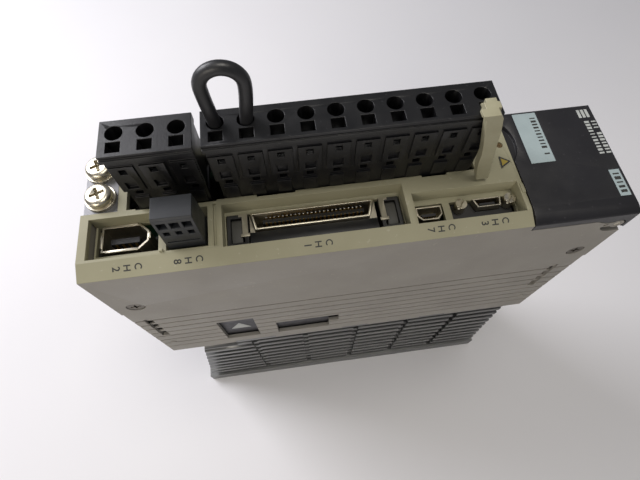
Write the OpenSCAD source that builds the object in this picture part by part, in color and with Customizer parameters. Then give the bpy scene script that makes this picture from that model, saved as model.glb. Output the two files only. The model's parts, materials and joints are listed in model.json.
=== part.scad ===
// Book-style servo drive, lying on its back.
// X runs along the drive's height (bottom end to top end), Y from its right side
// to its left side, Z from the mounting plane out of the front face.
// Inside the modules every place is measured from the corner where the bottom end,
// the right side and the mounting plane meet; bench() moves that corner.

/* [Overall] */
// Height of the drive, along X
drive_h = 160; // [159:0.5:161]
// Width of the drive, along Y
drive_w = 40; // [40:0.5:41]
// Depth from the mounting plane to the front face
drive_d = 170; // [170:0.5:171]

/* [Heat sink] */
// Thickness of the back flange
flange_t = 8.3; // [7:0.1:9]
// Number of cooling fins
fin_count = 9; // [6:1:9]
// Thickness of one fin
fin_t = 3.0; // [2:0.1:3.4]
// Distance from fin to fin
fin_pitch = 7.4; // [7:0.1:7.4]
// Distance between the two mounting holes
mount_pitch = 150; // [148:1:150]
// Radius of a mounting hole
mount_r = 2.5; // [2.2:0.1:2.7]

/* [Case] */
// Wall of the plastic case
wall = 2; // [1.8:0.1:2.2]
// Where the case starts, above the mounting plane
case_z0 = 81; // [81:0.5:83]
// Distance between the grooves on the right side
groove_pitch = 5.5; // [5:0.1:6]
// Number of grooves on the right side
groove_count = 8; // [4:1:8]

/* [Front bezel] */
// Where the bezel ends and the display cover starts
bezel_x1 = 128.4; // [128:0.1:128.5]
// Depth of the connector recesses
recess_d = 5; // [4.5:0.1:5]

/* [Plug-in terminals] */
// Distance from pole to pole
pole_pitch = 7.5; // [7.4:0.1:7.5]
// Poles of the supply and power plug
main_poles = 10; // [2:1:10]
// Poles of the motor plug
motor_poles = 3; // [1:1:3]
// Radius of a wire entry
wire_hole_r = 2.15; // [1.8:0.05:2.4]
// Radius of the jumper wire's insulation
jumper_r = 1.7; // [1.4:0.05:1.8]

/* [Display cover] */
// Radius of the hinge pins
pin_r = 1.0; // [0.8:0.05:1.1]
// Running gap between hinge pin and cover
pin_gap = 0.06; // [0.03:0.01:0.1]

/* [Controls] */
// Radius of a key cap
key_r = 2.1; // [1.8:0.1:2.3]
// Travel of a key
key_travel = 0.6; // [0.4:0.1:0.8]

/* [Hidden] */

$fn = 48;

// Heights along Z
seam_z = drive_d - 1.9;              // where the case meets the bezel
step_z = 138;                        // small step along the right side
skirt_z = drive_d - 4.4;             // lower edge of the cover's side skirt
floor_z = drive_d - recess_d;        // floor of the connector recesses
platform_z = 84;                     // top of the heat sink, inside the case
plug_z0 = drive_d + 10;              // underside of the plugs' heads
plug_z1 = drive_d + 25.7;            // top of the plugs
panel_z = drive_d - 10;              // face of the operator panel

// Places across the width, along Y
inner_y0 = wall;
inner_y1 = drive_w - 2.2;            // inner face of the left cover
control_y = 18.6;                    // near face of the control board
power_y = 35.6;                      // near face of the power board
board_t = 1.6;

// Hinge of the display cover
hinge_x = drive_h - 3.5;
hinge_z = drive_d - 7.6;
ear_r = 2.0;
tail_gap_r = 4.6;                    // room for the cover's tail to swing

// Terminals
motor_x = 19.6;                      // first pole of the motor plug
main_x = 44.0;                       // first pole of the main plug
plug_y0 = 19.2;
plug_y1 = 30.2;
wire_y = 26.2;
header_y0 = 20.6;
header_y1 = 35.2;
header_z0 = drive_d - 22;
end_gap = 3.7;                       // from the last pole to the end of the block

// Screws and keys
case_screw_x = [6.8, drive_h - 6.8];
case_screw_z = 144;
ground_at = [[5.3, 25.3], [4.7, 35.1]];
key_x = bezel_x1 + 5.3;
key_y0 = 8.8;
key_step = 7.4;

// ---------- helpers ----------
module bench() translate([-drive_h / 2, -drive_w / 2, 0]) children();

module block(low, high) translate(low) cube(high - low);

module bar_x(y, z, x0, x1, r) translate([x0, y, z]) rotate([0, 90, 0]) cylinder(r = r, h = x1 - x0);

module bar_y(x, z, y0, y1, r) translate([x, y0, z]) rotate([-90, 0, 0]) cylinder(r = r, h = y1 - y0);

module bar_z(x, y, z0, z1, r) translate([x, y, z0]) cylinder(r = r, h = z1 - z0);

// An outline in Y and Z, drawn out along X
module slab_x(outline, x0, x1)
  translate([x0, 0, 0]) rotate([90, 0, 90]) linear_extrude(x1 - x0) polygon(outline);

// An outline in X and Z, drawn out along Y
module slab_y(outline, y0, y1)
  translate([0, y1, 0]) rotate([90, 0, 0]) linear_extrude(y1 - y0) polygon(outline);

// An outline in X and Y, drawn out along Z
module slab_z(outline, z0, z1) translate([0, 0, z0]) linear_extrude(z1 - z0) polygon(outline);

// ---------- heat sink ----------
function sink_x0(z) = 12 * z / 75;             // the fins' bottom ends slant inwards
function sink_x1(z) = drive_h - 7 * z / 81;    // and so do their top ends
function fin_z(i) = flange_t + 5.9 + fin_pitch * i;

module mounting_hole(x) bar_z(x, drive_w / 2, -1, flange_t + 1, mount_r);

module screwdriver_way(x) bar_z(x, drive_w / 2, flange_t, platform_z + 1, 4.6);

module sink_lug(x) block([x, 29.5, platform_z - 1], [x + 8, power_y - 0.1, platform_z + 9]);

module heat_sink() color("silver") bench() difference() {
  union() {
    block([0, 0, 0], [drive_h, drive_w, flange_t]);
    slab_y([[0, 2], [drive_h, 2], [sink_x1(80), 80], [sink_x0(80), 80]], drive_w - 5, drive_w);
    for (i = [0:fin_count - 1])
      block([sink_x0(fin_z(i)), 1, fin_z(i) - fin_t / 2],
            [sink_x1(fin_z(i)), drive_w - 4, fin_z(i) + fin_t / 2]);
    block([sink_x0(80), 1, 77.6], [sink_x1(80), drive_w - 4, 80.5]);
    block([4, 3.4, 79.5], [drive_h - 4, drive_w - 3, platform_z]);
    for (x = [14, 138]) sink_lug(x);
  }
  for (x = [drive_h / 2 - mount_pitch / 2, drive_h / 2 + mount_pitch / 2]) {
    mounting_hole(x);
    screwdriver_way(x);
  }
  // notches in the fins' edges
  for (x = [34:24:130], i = [0:fin_count - 1])
    block([x, -1, fin_z(i) - fin_t], [x + 2.4, 2.4, fin_z(i) + fin_t]);
  // seat of the side shield
  block([-1, 0, 73], [27.4, 3.4, platform_z + 1]);
  // threaded holes for the power board
  for (x = [18, 142]) bar_y(x, platform_z + 5, 30, drive_w, 1.3);
}

// ---------- case ----------
// Outline of one side wall, in X and Z
side_outline = [[0, case_z0], [drive_h, case_z0], [drive_h, skirt_z - 5.9], [drive_h - 11, skirt_z - 0.3],
  [bezel_x1, skirt_z - 0.3], [bezel_x1, seam_z], [0, seam_z]];

module hinge_ear(y0, y1) difference() {
  union() {
    bar_y(hinge_x, hinge_z, y0, y1, ear_r);
    block([drive_h - 12, y0, hinge_z - 1.2], [hinge_x, y1, hinge_z + 1.2]);
  }
  bar_y(hinge_x, hinge_z, y0 - 1, y1 + 1, pin_r);
  bar_y(drive_h - 7, hinge_z, y0 - 1, y1 + 1, 0.7);
}

module tail_room() {
  bar_y(hinge_x, hinge_z, -1, drive_w + 1, tail_gap_r);
  block([hinge_x, -1, hinge_z - tail_gap_r], [drive_h + 1, drive_w + 1, drive_d]);
}

module vent_slots(x0, x1)
  for (z = [92:6:146]) block([x0, 7, z], [x1, drive_w - 8, z + 2.4]);

module side_windows() {
  block([26, -1, 89], [40, wall + 1, 114]);
  block([48, -1, 88.6], [70, wall + 1, 103.5]);
  block([70, -1, 96], [74, wall + 1, 103.5]);
}

module rear_edge_steps() {
  block([28, -1, case_z0 - 1], [46, wall + 0.1, case_z0 + 2.2]);
  block([76, -1, case_z0 - 1], [88, wall + 0.1, case_z0 + 1.4]);
  block([112, -1, case_z0 - 1], [124, wall + 0.1, case_z0 + 1.4]);
}

module screw_seat(x) {
  bar_y(x, case_screw_z, -1, 1.3, 2.9);
  bar_y(x, case_screw_z, -1, 6, 1.7);
}

module main_case() color([0.60, 0.57, 0.50]) bench() {
  difference() {
    union() {
      slab_y(side_outline, 0.35, wall);
      intersection() {
        slab_y(side_outline, 0, wall);
        block([0, 0, step_z], [drive_h, wall, drive_d]);
      }
      block([0, 0.35, case_z0], [wall, inner_y1 - 0.3, seam_z]);
      block([drive_h - wall, 0.35, case_z0], [drive_h, inner_y1 - 0.3, skirt_z - 5.9]);
      for (x = case_screw_x) bar_y(x, case_screw_z, 0, 4, 3.3);
    }
    for (i = [0:groove_count - 1])
      block([-1, -1, 88.8 + groove_pitch * i], [drive_h + 1, 0.75, 89.5 + groove_pitch * i]);
    block([-1, -1, step_z - 0.6], [drive_h + 1, 0.6, step_z]);
    side_windows();
    rear_edge_steps();
    vent_slots(-1, wall + 1);
    vent_slots(drive_h - wall - 1, drive_h + 1);
    block([3.6, -1, 107], [6.4, wall + 1, 129]);
    block([drive_h - 8.6, -1, 109], [drive_h - 5.8, wall + 1, 131]);
    for (x = case_screw_x) screw_seat(x);
    tail_room();
  }
  hinge_ear(0, wall - 0.4);
  // moulded pegs behind the end slots
  for (z = [110:5:125]) block([3.4, 1.2, z], [6.6, 1.9, z + 1.8]);
  for (z = [112:5:127]) block([drive_h - 8.8, 1.2, z], [drive_h - 5.6, 1.9, z + 1.8]);
  for (x = [4.5, drive_h - 5.8]) bar_y(x, 96, 0, 0.6, 1.1);
}

module left_cover() color([0.60, 0.57, 0.50]) bench() {
  difference() {
    union() {
      slab_y(side_outline, inner_y1, drive_w);
      for (x = case_screw_x) bar_y(x, case_screw_z, 4.2, inner_y1 + 0.5, 3.0);
    }
    for (x = case_screw_x) bar_y(x, case_screw_z, 3, 20, 1.35);
    for (i = [0:groove_count - 1])
      block([-1, drive_w - 0.4, 88.8 + groove_pitch * i], [drive_h + 1, drive_w + 1, 89.5 + groove_pitch * i]);
    // shallow panel for the rating label
    block([20, drive_w - 0.5, 140], [112, drive_w + 1, 162]);
    for (x = [60:7:137]) block([x, inner_y1 - 1, 92], [x + 2.4, drive_w + 1, 124]);
    tail_room();
  }
  hinge_ear(drive_w - wall + 0.4, drive_w);
}

module side_shield() color("dimgray") bench()
  slab_y([[4, 73.6], [27, 73.6], [27, 86], [76, 86], [76, 116], [22, 116], [22, 84.3], [4, 84.3]], 2.3, 3.1);

module case_screws() color("silver") bench()
  for (x = case_screw_x) difference() {
    union() {
      bar_y(x, case_screw_z, 0.2, 1.25, 2.7);
      bar_y(x, case_screw_z, 1.2, 14, 1.3);
    }
    for (turn = [0, 90])
      translate([x, 0.5, case_screw_z]) rotate([0, turn, 0]) cube([3, 1.1, 0.6], center = true);
  }

// ---------- front bezel ----------
// Outline in Y and Z: a sloped label strip along the near edge
bezel_outline = [[0, seam_z + 0.05], [5, drive_d], [drive_w, drive_d], [drive_w, seam_z + 0.05]];

// Recesses as [x0, y0, x1, y1]
encoder_recess = [2.4, 5.8, 22.3, 18.4];
safety_recess = [24.4, 5.8, 36.0, 18.4];
io_recess = [40.0, 4.9, 93.0, 18.4];
port_recess = [95.2, 4.6, 127.0, 14.6];
recesses = [encoder_recess, safety_recess, io_recess, port_recess];

// The same recess one wall larger, from z0 up to z1
module recess_block(r, grow, z0, z1) block([r[0] - grow, r[1] - grow, z0], [r[2] + grow, r[3] + grow, z1]);

module bezel_shell() difference() {
  union() {
    slab_x(bezel_outline, 0, bezel_x1);
    block([2.4, 2.4, floor_z - 1.6], [bezel_x1, inner_y1 - 0.4, seam_z + 0.1]);
  }
  // hollow behind the face
  block([4, 19.9, floor_z - 2], [bezel_x1 - 1.4, inner_y1 - 2, drive_d - 2.2]);
}

module bezel_openings() {
  for (r = recesses) recess_block(r, 0, floor_z, drive_d + 1);
  block([3.0, 8.8, floor_z - 3], [21.5, 18.3, floor_z + 1]);                    // encoder socket
  block([25.2, 6.6, floor_z - 3], [35.2, 18.35, floor_z + 1]);                  // safety socket
  block([40.3, 5.3, floor_z - 3], [92.7, 17.0, floor_z + 1]);                   // signal socket
  block([96.2, 6.9, floor_z - 3], [105.0, 12.8, floor_z + 1]);                  // service port
  block([107.2, 6.6, floor_z - 3], [126.8, 12.7, floor_z + 1]);                 // panel port
  // room for the ground terminal
  block([-1, 20.2, floor_z - 3], [10.4, drive_w + 1, drive_d + 1]);
  // room for the terminal headers, stepped at the bottom end
  block([12.9, header_y0 - 0.3, floor_z - 3], [15.6, 37.2, drive_d + 1]);
  block([15.5, 19.9, floor_z - 3], [38.7, 37.2, drive_d + 1]);
  block([38.6, header_y0 - 0.3, floor_z - 3], [116, 37.2, drive_d + 1]);
  block([50.4, 19.7, floor_z - 3], [61.8, 22, drive_d + 1]);
  block([99.6, 19.7, floor_z - 3], [107.2, 22, drive_d + 1]);
  // thin grooves beside the recesses
  block([37.6, 5.6, drive_d - 0.8], [38.4, 19, drive_d + 1]);
  bar_z(126, 28, floor_z - 3, drive_d + 1, 1.1);                                // charge lamp
}

module front_bezel() color([0.66, 0.63, 0.55]) bench() {
  difference() {
    bezel_shell();
    bezel_openings();
  }
  // snap clip on the wall between the first two recesses
  block([22.6, 5.6, floor_z], [23.6, 6.4, drive_d + 0.6]);
  // guide rib at the cover's corner
  block([127.4, 10.4, drive_d - 3], [bezel_x1, 13.6, drive_d + 0.3]);
}

module charge_lamp() color("orange") bench() {
  bar_z(126, 28, drive_d - 9, drive_d - 0.3, 1.0);
  bar_z(126, 28, drive_d - 10.5, drive_d - 8.9, 1.5);
}

// ---------- ground terminal ----------
module ground_plate() color("lightgray") bench() difference() {
  union() {
    block([0.5, 20.5, seam_z + 0.1], [10.1, drive_w - 0.4, drive_d - 0.6]);
    block([wall + 0.1, 23, platform_z + 0.1], [wall + 1.1, 33, seam_z + 0.2]);
    block([wall + 0.1, 23, platform_z + 0.1], [10, 28, platform_z + 1.3]);
  }
  for (p = ground_at) bar_z(p.x, p.y, floor_z, drive_d + 1, 2.05);
}

module ground_washers() color("lightgray") bench()
  for (p = ground_at) difference() {
    bar_z(p.x, p.y, drive_d - 0.6, drive_d + 0.4, 4.4);
    bar_z(p.x, p.y, drive_d - 1, drive_d + 1, 2.15);
  }

module ground_screws() color("silver") bench()
  for (p = ground_at) difference() {
    union() {
      translate([p.x, p.y, drive_d + 0.4]) rotate_extrude()
        polygon(concat([[0, 0], [3.9, 0], [3.9, 1.1]],
                       [for (a = [0:15:90]) [3.9 - 1.3 + 1.3 * cos(a), 1.1 + 1.3 * sin(a)]], [[0, 2.4]]));
      bar_z(p.x, p.y, drive_d - 9, drive_d + 0.5, 2.0);
    }
    for (turn = [20, 110])
      translate([p.x, p.y, drive_d + 2.4]) rotate(turn) cube([4.2, 0.8, 2.6], center = true);
  }

// ---------- display cover ----------
cover_x0 = bezel_x1 + 0.2;
cover_top = drive_d + 0.4;

// Outline in Y and Z, inset from the outside by t, well rounded along the near edge
function cover_outline(t) = concat(
  [[t, 140]],
  [for (a = [0:15:90]) [t + 6.5 * (1 - cos(a)), drive_d - 2 + (2.4 - t) * sin(a)]],
  [for (a = [90:-15:0]) [drive_w - t - 1.2 * (1 - cos(a)), drive_d - 2 + (2.4 - t) * sin(a)]],
  [[drive_w - t, 140]]);

cover_side = [[cover_x0, skirt_z], [drive_h - 11, skirt_z], [drive_h, skirt_z - 5.6],
  [drive_h, cover_top - 1.6], [drive_h - 0.5, cover_top - 0.5], [drive_h - 1.6, cover_top], [cover_x0, cover_top]];

module cover_arm(y0, y1) difference() {
  union() {
    bar_y(hinge_x, hinge_z, y0, y1, ear_r);
    block([hinge_x - ear_r, y0, hinge_z], [hinge_x + ear_r, y1, cover_top - 1.4]);
  }
  bar_y(hinge_x, hinge_z, y0 - 1, y1 + 1, pin_r + pin_gap);
}

module display_cover() color([0.12, 0.12, 0.12]) bench() {
  difference() {
    intersection() {
      slab_x(cover_outline(0), cover_x0, drive_h);
      slab_y(cover_side, 0, drive_w);
    }
    slab_x(cover_outline(1.6), cover_x0 + 1.6, drive_h - 1.1);
    // room for the hinge ears
    for (y = [[-1, wall - 0.1], [drive_w - wall + 0.1, drive_w + 1]]) {
      bar_y(hinge_x, hinge_z, y[0], y[1], ear_r + 0.35);
      block([drive_h - 13, y[0], hinge_z - 3], [hinge_x, y[1], hinge_z + 1.7]);
    }
    // finger scoop
    bar_z(cover_x0 - 9, 28.5, drive_d - 1, drive_d + 1, 11.5);
    // seats of the two labels
    block([133.2, 19.5, cover_top - 0.15], [140.9, 38.65, cover_top + 1]);
    block([155, 5.1, cover_top - 0.15], [158.3, 14.4, cover_top + 1]);
  }
  cover_arm(2.3, 4.8);
  cover_arm(drive_w - 4.8, drive_w - 2.5);
}

module cover_label() color("lightsteelblue") bench()
  block([133.3, 19.6, cover_top - 0.13], [140.8, 38.55, cover_top + 0.05]);

module rating_label() color("white") bench()
  block([155.1, 5.2, cover_top - 0.13], [158.2, 14.3, cover_top + 0.05]);

module hinge_pins() color("gray") bench() {
  bar_y(hinge_x, hinge_z, 0.15, 5.4, pin_r);
  bar_y(hinge_x, hinge_z, drive_w - 5.4, drive_w - 0.15, pin_r);
}

// ---------- operator panel ----------
module operator_panel() color([0.25, 0.25, 0.24]) bench() difference() {
  union() {
    block([cover_x0 + 0.1, inner_y0 + 0.3, panel_z - 2], [150, inner_y1 - 0.4, panel_z]);
    block([148.6, inner_y0 + 0.3, panel_z - 8], [150, inner_y1 - 0.4, panel_z - 1]);
    block([148.6, inner_y0 + 0.3, panel_z - 8], [drive_h - wall - 0.3, inner_y1 - 0.4, panel_z - 6.4]);
  }
  block([139.5, 7.0, panel_z - 3], [148.2, 33, panel_z + 1]);
  for (i = [0:3]) bar_z(key_x, key_y0 + key_step * i, panel_z - 3, panel_z + 1, key_r + 0.3);
  for (x = [141.5, 146]) bar_z(x, 4.9, panel_z - 3, panel_z + 1, 0.8);
}

module display_window() color([0.35, 0.05, 0.05, 0.5]) bench()
  block([139.6, 7.1, panel_z - 1.3], [148.1, 32.9, panel_z - 0.2]);

// Two side bars and three cross bars make one digit
module digit(x, y) {
  block([x, y, panel_z - 2.5], [x + 5.6, y + 0.6, panel_z - 2.2]);
  block([x, y + 2.7, panel_z - 2.5], [x + 5.6, y + 3.3, panel_z - 2.2]);
  for (i = [0:2]) block([x + 2.5 * i, y, panel_z - 2.5], [x + 2.5 * i + 0.6, y + 3.3, panel_z - 2.2]);
}

module digit_display() color("firebrick") bench() {
  block([140, 7.6, panel_z - 7.9], [147.7, 32.4, panel_z - 2.5]);
  for (i = [0:4]) digit(141, 8.8 + 4.7 * i);
}

module status_leds() color("limegreen") bench()
  for (x = [141.5, 146]) bar_z(x, 4.9, panel_z - 6.5, panel_z + 0.1, 0.7);

module panel_board() color("darkgreen") bench()
  block([cover_x0 + 0.6, 3, panel_z - 9.6], [148.2, 37, panel_z - 8]);

module key_switches() color([0.15, 0.15, 0.15]) bench()
  for (i = [0:3]) {
    y = key_y0 + key_step * i;
    block([key_x - 2.5, y - 2.5, panel_z - 8], [key_x + 2.5, y + 2.5, panel_z - 6]);
    bar_z(key_x, y, panel_z - 6.1, panel_z - 5.1, 1.1);
  }

// One key: a cap with a flange that holds it under the panel
module key_cap(i) bench() {
  y = key_y0 + key_step * i;
  bar_z(key_x, y, panel_z - 5.1 + key_travel + 0.05, panel_z + 1, key_r);
  bar_z(key_x, y, panel_z - 4.4, panel_z - 2.3, key_r + 0.7);
}

module mode_key() color("lightgray") key_cap(0);
module up_key() color("lightgray") key_cap(1);
module down_key() color("lightgray") key_cap(2);
module set_key() color("lightgray") key_cap(3);

// ---------- plug-in terminals ----------
function pole_x(x0, i) = x0 + pole_pitch * i;
function block_x0(x0) = x0 - end_gap;
function block_x1(x0, n) = pole_x(x0, n - 1) + end_gap;

// The fixed half, standing on the power board
module header(x0, n) difference() {
  union() {
    block([block_x0(x0) + 0.8, header_y0, header_z0], [block_x1(x0, n) - 0.8, header_y1, plug_z0 - 0.3]);
    // outer rail that keys the plug
    for (i = [0:n - 1])
      block([pole_x(x0, i) - 2, header_y0 - 0.5, drive_d + 0.4], [pole_x(x0, i) + 2, header_y0 + 0.5, plug_z0 - 4]);
  }
  for (i = [0:n - 1]) {
    block([pole_x(x0, i) - 2.9, 22.0, drive_d + 3], [pole_x(x0, i) + 2.9, 30.5, plug_z0 + 1]);
    block([pole_x(x0, i) - 0.55, 28.2, header_z0 - 1], [pole_x(x0, i) + 0.55, 29.2, plug_z0]);
    // slot for the latch
    block([pole_x(x0, i) - 1, header_y0 - 1, plug_z0 - 3], [pole_x(x0, i) + 1, 22.1, plug_z0 - 1.4]);
  }
}

module header_pins(x0, n)
  for (i = [0:n - 1]) {
    block([pole_x(x0, i) - 0.5, 28.25, header_z0 - 3], [pole_x(x0, i) + 0.5, 29.15, plug_z0 + 6]);
    block([pole_x(x0, i) - 0.5, 28.25, header_z0 - 3], [pole_x(x0, i) + 0.5, power_y + 2, header_z0 - 2]);
  }

// Cuts one pole out of a plug
module pole_cuts(x) {
  bar_z(x, wire_y, plug_z0 + 7, plug_z1 + 1, wire_hole_r);
  block([x - 1.75, 20.4, plug_z0 + 7], [x + 1.75, 23.5, plug_z1 + 1]);
  block([x - 2.8, 20.9, plug_z0 + 1], [x + 2.8, 27.6, plug_z0 + 7.1]);
  block([x - 0.9, 27.5, plug_z0 - 7], [x + 0.9, 29.5, plug_z0 + 7]);
  // test window and latch window in the near face
  block([x - 0.9, plug_y0 - 1, plug_z0 + 8], [x + 0.9, plug_y0 + 1.2, plug_z0 + 10]);
  block([x - 1.4, plug_y0 - 1, plug_z0 + 1.6], [x + 1.4, plug_y0 + 0.9, plug_z0 + 4.6]);
}

module plug(x0, n) difference() {
  union() {
    block([block_x0(x0), plug_y0, plug_z0 + 13], [block_x1(x0, n), plug_y1, plug_z1]);
    // small ledge below the top edge
    block([block_x0(x0), plug_y0 - 0.5, plug_z1 - 2.2], [block_x1(x0, n), plug_y0 + 1, plug_z1 - 1.1]);
    block([block_x0(x0) + 0.3, plug_y0 + 0.5, plug_z0], [block_x1(x0, n) - 0.3, plug_y1 - 0.3, plug_z0 + 13.1]);
    for (i = [0:n - 1]) {
      // raised panel of each pole on the near face
      block([pole_x(x0, i) - 3.1, plug_y0, plug_z0 + 0.6], [pole_x(x0, i) + 3.1, plug_y0 + 1, plug_z0 + 11]);
      // foot that enters the header
      block([pole_x(x0, i) - 2.5, 22.4, plug_z0 - 6.5], [pole_x(x0, i) + 2.5, 30.1, plug_z0 + 0.1]);
    }
  }
  for (i = [0:n - 1]) pole_cuts(pole_x(x0, i));
}

// Steel cages that clamp the wires
module clamps(x0, n)
  for (i = [0:n - 1]) {
    x = pole_x(x0, i);
    difference() {
      block([x - 2.5, 21.2, plug_z0 + 1.3], [x + 2.5, 27.3, plug_z0 + 6.6]);
      block([x - 3, 21.8, plug_z0 + 1.9], [x + 3, 28, plug_z0 + 7]);
    }
  }

module main_header() color([0.10, 0.10, 0.10]) bench() header(main_x, main_poles);
module main_header_pins() color("gold") bench() header_pins(main_x, main_poles);
module main_plug() color([0.16, 0.16, 0.17]) bench() plug(main_x, main_poles);
module main_plug_clamps() color("silver") bench() clamps(main_x, main_poles);
module motor_header() color([0.10, 0.10, 0.10]) bench() header(motor_x, motor_poles);
module motor_header_pins() color("gold") bench() header_pins(motor_x, motor_poles);
module motor_plug() color([0.16, 0.16, 0.17]) bench() plug(motor_x, motor_poles);
module motor_plug_clamps() color("silver") bench() clamps(motor_x, motor_poles);

// A wire loop that joins the first two poles of the main plug
loop_x = main_x + 4.1;
loop_z = plug_z1 + 11.5;
loop_r = 4.95;
jumper_z0 = plug_z1 - 4;
leg_steps = 8;

function smooth(t) = t * t * (3 - 2 * t);
function leg_point(x0, x1, t) = [x0 + (x1 - x0) * smooth(t), wire_y, jumper_z0 + (loop_z - jumper_z0) * t];
jumper_route = concat(
  [for (i = [0:leg_steps - 1]) leg_point(main_x, loop_x - loop_r, i / leg_steps)],
  [for (a = [180:-15:0]) [loop_x + loop_r * cos(a), wire_y, loop_z + loop_r * sin(a)]],
  [for (i = [leg_steps - 1:-1:0]) leg_point(main_x + pole_pitch, loop_x + loop_r, i / leg_steps)]);

// A tube of radius r swept along a route that keeps to one Y
module flat_tube(route, r, sides) {
  last = len(route) - 1;
  function along(i) = route[min(i + 1, last)] - route[max(i - 1, 0)];
  function across(i) = cross(along(i) / norm(along(i)), [0, 1, 0]);
  polyhedron(
    points = [for (i = [0:last], k = [0:sides - 1])
      route[i] + r * cos(360 * k / sides) * [0, 1, 0] + r * sin(360 * k / sides) * across(i)],
    faces = concat(
      [[for (k = [0:sides - 1]) k]],
      [for (i = [0:last - 1], k = [0:sides - 1]) let (n = (k + 1) % sides)
        [i * sides + k, (i + 1) * sides + k, (i + 1) * sides + n, i * sides + n]],
      [[for (k = [sides - 1:-1:0]) last * sides + k]]));
}

module jumper_wire() color([0.08, 0.08, 0.08]) bench() flat_tube(jumper_route, jumper_r, 12);

module jumper_ferrules() color("silver") bench()
  for (i = [0, 1]) bar_z(pole_x(main_x, i), wire_y, plug_z0 + 2.4, jumper_z0 - 0.05, 0.9);

// ---------- opener lever ----------
// It hangs by its nose in the last tool slot; the arm leans towards the top end
lever_x = pole_x(main_x, main_poles - 1);
lever_z = plug_z1 + 0.6;
nose_z = plug_z1 - 0.3;              // axis on which the lever swings
lever_arm = [[-3.9, 2.9], [0.5, 2.9], [1.4, 1.6], [2, -0.5], [2.7, -3.5], [3.6, -8.7], [4.9, -15.5], [6.7, -25],
  [3.2, -25], [1.9, -20.4], [1.1, -16.5], [0.8, -12.9], [-0.1, -8.9], [-1.2, -4.8], [-2.1, -0.9], [-2.6, 1]];

module opener_lever() color("ivory") bench() {
  translate([lever_x, 0, lever_z]) slab_y(lever_arm, plug_y0 - 3.4, plug_y0 - 0.9);
  // the bridge over the plug's edge and the nose in the slot
  block([lever_x - 1.4, plug_y0 - 1, plug_z1 + 0.35], [lever_x + 1.4, 22.2, plug_z1 + 2.6]);
  block([lever_x - 2.6, plug_y0 - 1, plug_z1 + 0.35], [lever_x + 1.4, 20.2, plug_z1 + 3.5]);
  block([lever_x - 1.4, 21.2, nose_z], [lever_x + 1.4, 22.2, plug_z1 + 1]);
  bar_x(22.05, nose_z, lever_x - 1.4, lever_x + 1.4, 1.0);
}

// ---------- safety terminal ----------
safety_x0 = 25.0;
safety_x1 = 35.4;
safety_side = [[6.6, drive_d - 3.8], [6.6, drive_d + 14.6], [7.2, drive_d + 15.2], [13.5, drive_d + 15.2],
  [14.6, drive_d + 8], [15.4, drive_d + 2], [15.4, drive_d - 3.8]];

module safety_socket() color([0.1, 0.1, 0.1]) bench() difference() {
  block([25.4, 6.9, drive_d - 18], [35.0, 18.2, drive_d - 5.2]);
  block([26.2, 7.7, drive_d - 14], [34.2, 15.4, drive_d - 4]);
}

module safety_socket_pins() color("gold") bench()
  for (x = [27.8, 30.2, 32.6], y = [9.8, 13.2])
    block([x - 0.3, y - 0.3, drive_d - 13.98], [x + 0.3, y + 0.3, drive_d - 6]);

module safety_plug() color([0.2, 0.2, 0.22]) bench() difference() {
  union() {
    intersection() {
      slab_x(safety_side, safety_x0, safety_x1);
      block([20, 0, drive_d - 4.2], [40, 20, drive_d + 20]);
    }
    block([26.6, 8.1, drive_d - 11], [33.8, 15.0, drive_d - 3]);
  }
  for (x = [27.0, 30.2, 33.4]) {
    block([x - 1.15, 5, drive_d + 10.2], [x + 1.15, 9.5, drive_d + 13.2]);
    block([x - 0.8, 5, drive_d + 6.6], [x + 0.8, 8.5, drive_d + 8.6]);
  }
  block([safety_x0 + 1, 5, drive_d + 2.6], [safety_x1 - 1, 7.1, drive_d + 3.4]);
  for (x = [27.8, 30.2, 32.6], y = [9.8, 13.2])
    block([x - 0.7, y - 0.7, drive_d - 12], [x + 0.7, y + 0.7, drive_d - 4]);
}

// ---------- signal sockets ----------
socket_z0 = drive_d - 17;
rim_z = floor_z + 0.4;

// A sheet shell that follows an outline, open at the front
module metal_shell(outline, inner, z0, z1) difference() {
  slab_z(outline, z0, z1);
  slab_z(inner, z0 + 0.6, z1 + 1);
}

module encoder_shell() color("silver") bench()
  metal_shell([[4.3, 9.8], [15.3, 9.8], [18, 12.3], [18, 15.6], [15.3, 18.1], [4.3, 18.1]],
              [[4.9, 10.4], [15, 10.4], [17.4, 12.6], [17.4, 15.3], [15, 17.5], [4.9, 17.5]], socket_z0, rim_z);

module encoder_insulator() color([0.08, 0.08, 0.08]) bench() {
  block([5.1, 10.6, socket_z0 + 0.7], [14.8, 17.3, socket_z0 + 4]);
  block([6.2, 13.1, socket_z0 + 3.9], [14.6, 14.9, rim_z - 2]);
}

io_outer = [[48.8, 11.2], [82.8, 11.2], [84.9, 16.9], [47.5, 16.9]];
io_inner = [[49.5, 11.8], [82.2, 11.8], [83.9, 16.3], [48.3, 16.3]];

module io_shell() color("silver") bench() {
  metal_shell(io_outer, io_inner, socket_z0, rim_z + 0.3);
  difference() {
    block([47.0, 6.2, rim_z - 2], [85.2, 16.95, rim_z - 1.5]);
    slab_z(io_outer, rim_z - 3, rim_z);
  }
}

module io_insulator() color([0.08, 0.08, 0.08]) bench() {
  slab_z([[50, 12.1], [81.7, 12.1], [83.2, 16], [49, 16]], socket_z0 + 0.7, socket_z0 + 3);
  block([51, 13.4, socket_z0 + 2.9], [81.6, 14.8, rim_z - 1]);
}

module io_contacts() color("gold") bench()
  for (i = [0:23]) {
    x = 51.9 + 1.24 * i;
    block([x, 13.2, socket_z0 + 3.1], [x + 0.5, 13.38, rim_z - 1.4]);
    block([x, 14.82, socket_z0 + 3.1], [x + 0.5, 15, rim_z - 1.4]);
  }

module io_latches() color("dimgray") bench()
  for (x = [40.6, 86.0]) difference() {
    block([x, 6.4, socket_z0 + 4], [x + 6.2, 16.8, rim_z + 0.4]);
    block([x + 1.2, 7.6, rim_z - 4], [x + 5, 15.6, rim_z + 1]);
  }

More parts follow.
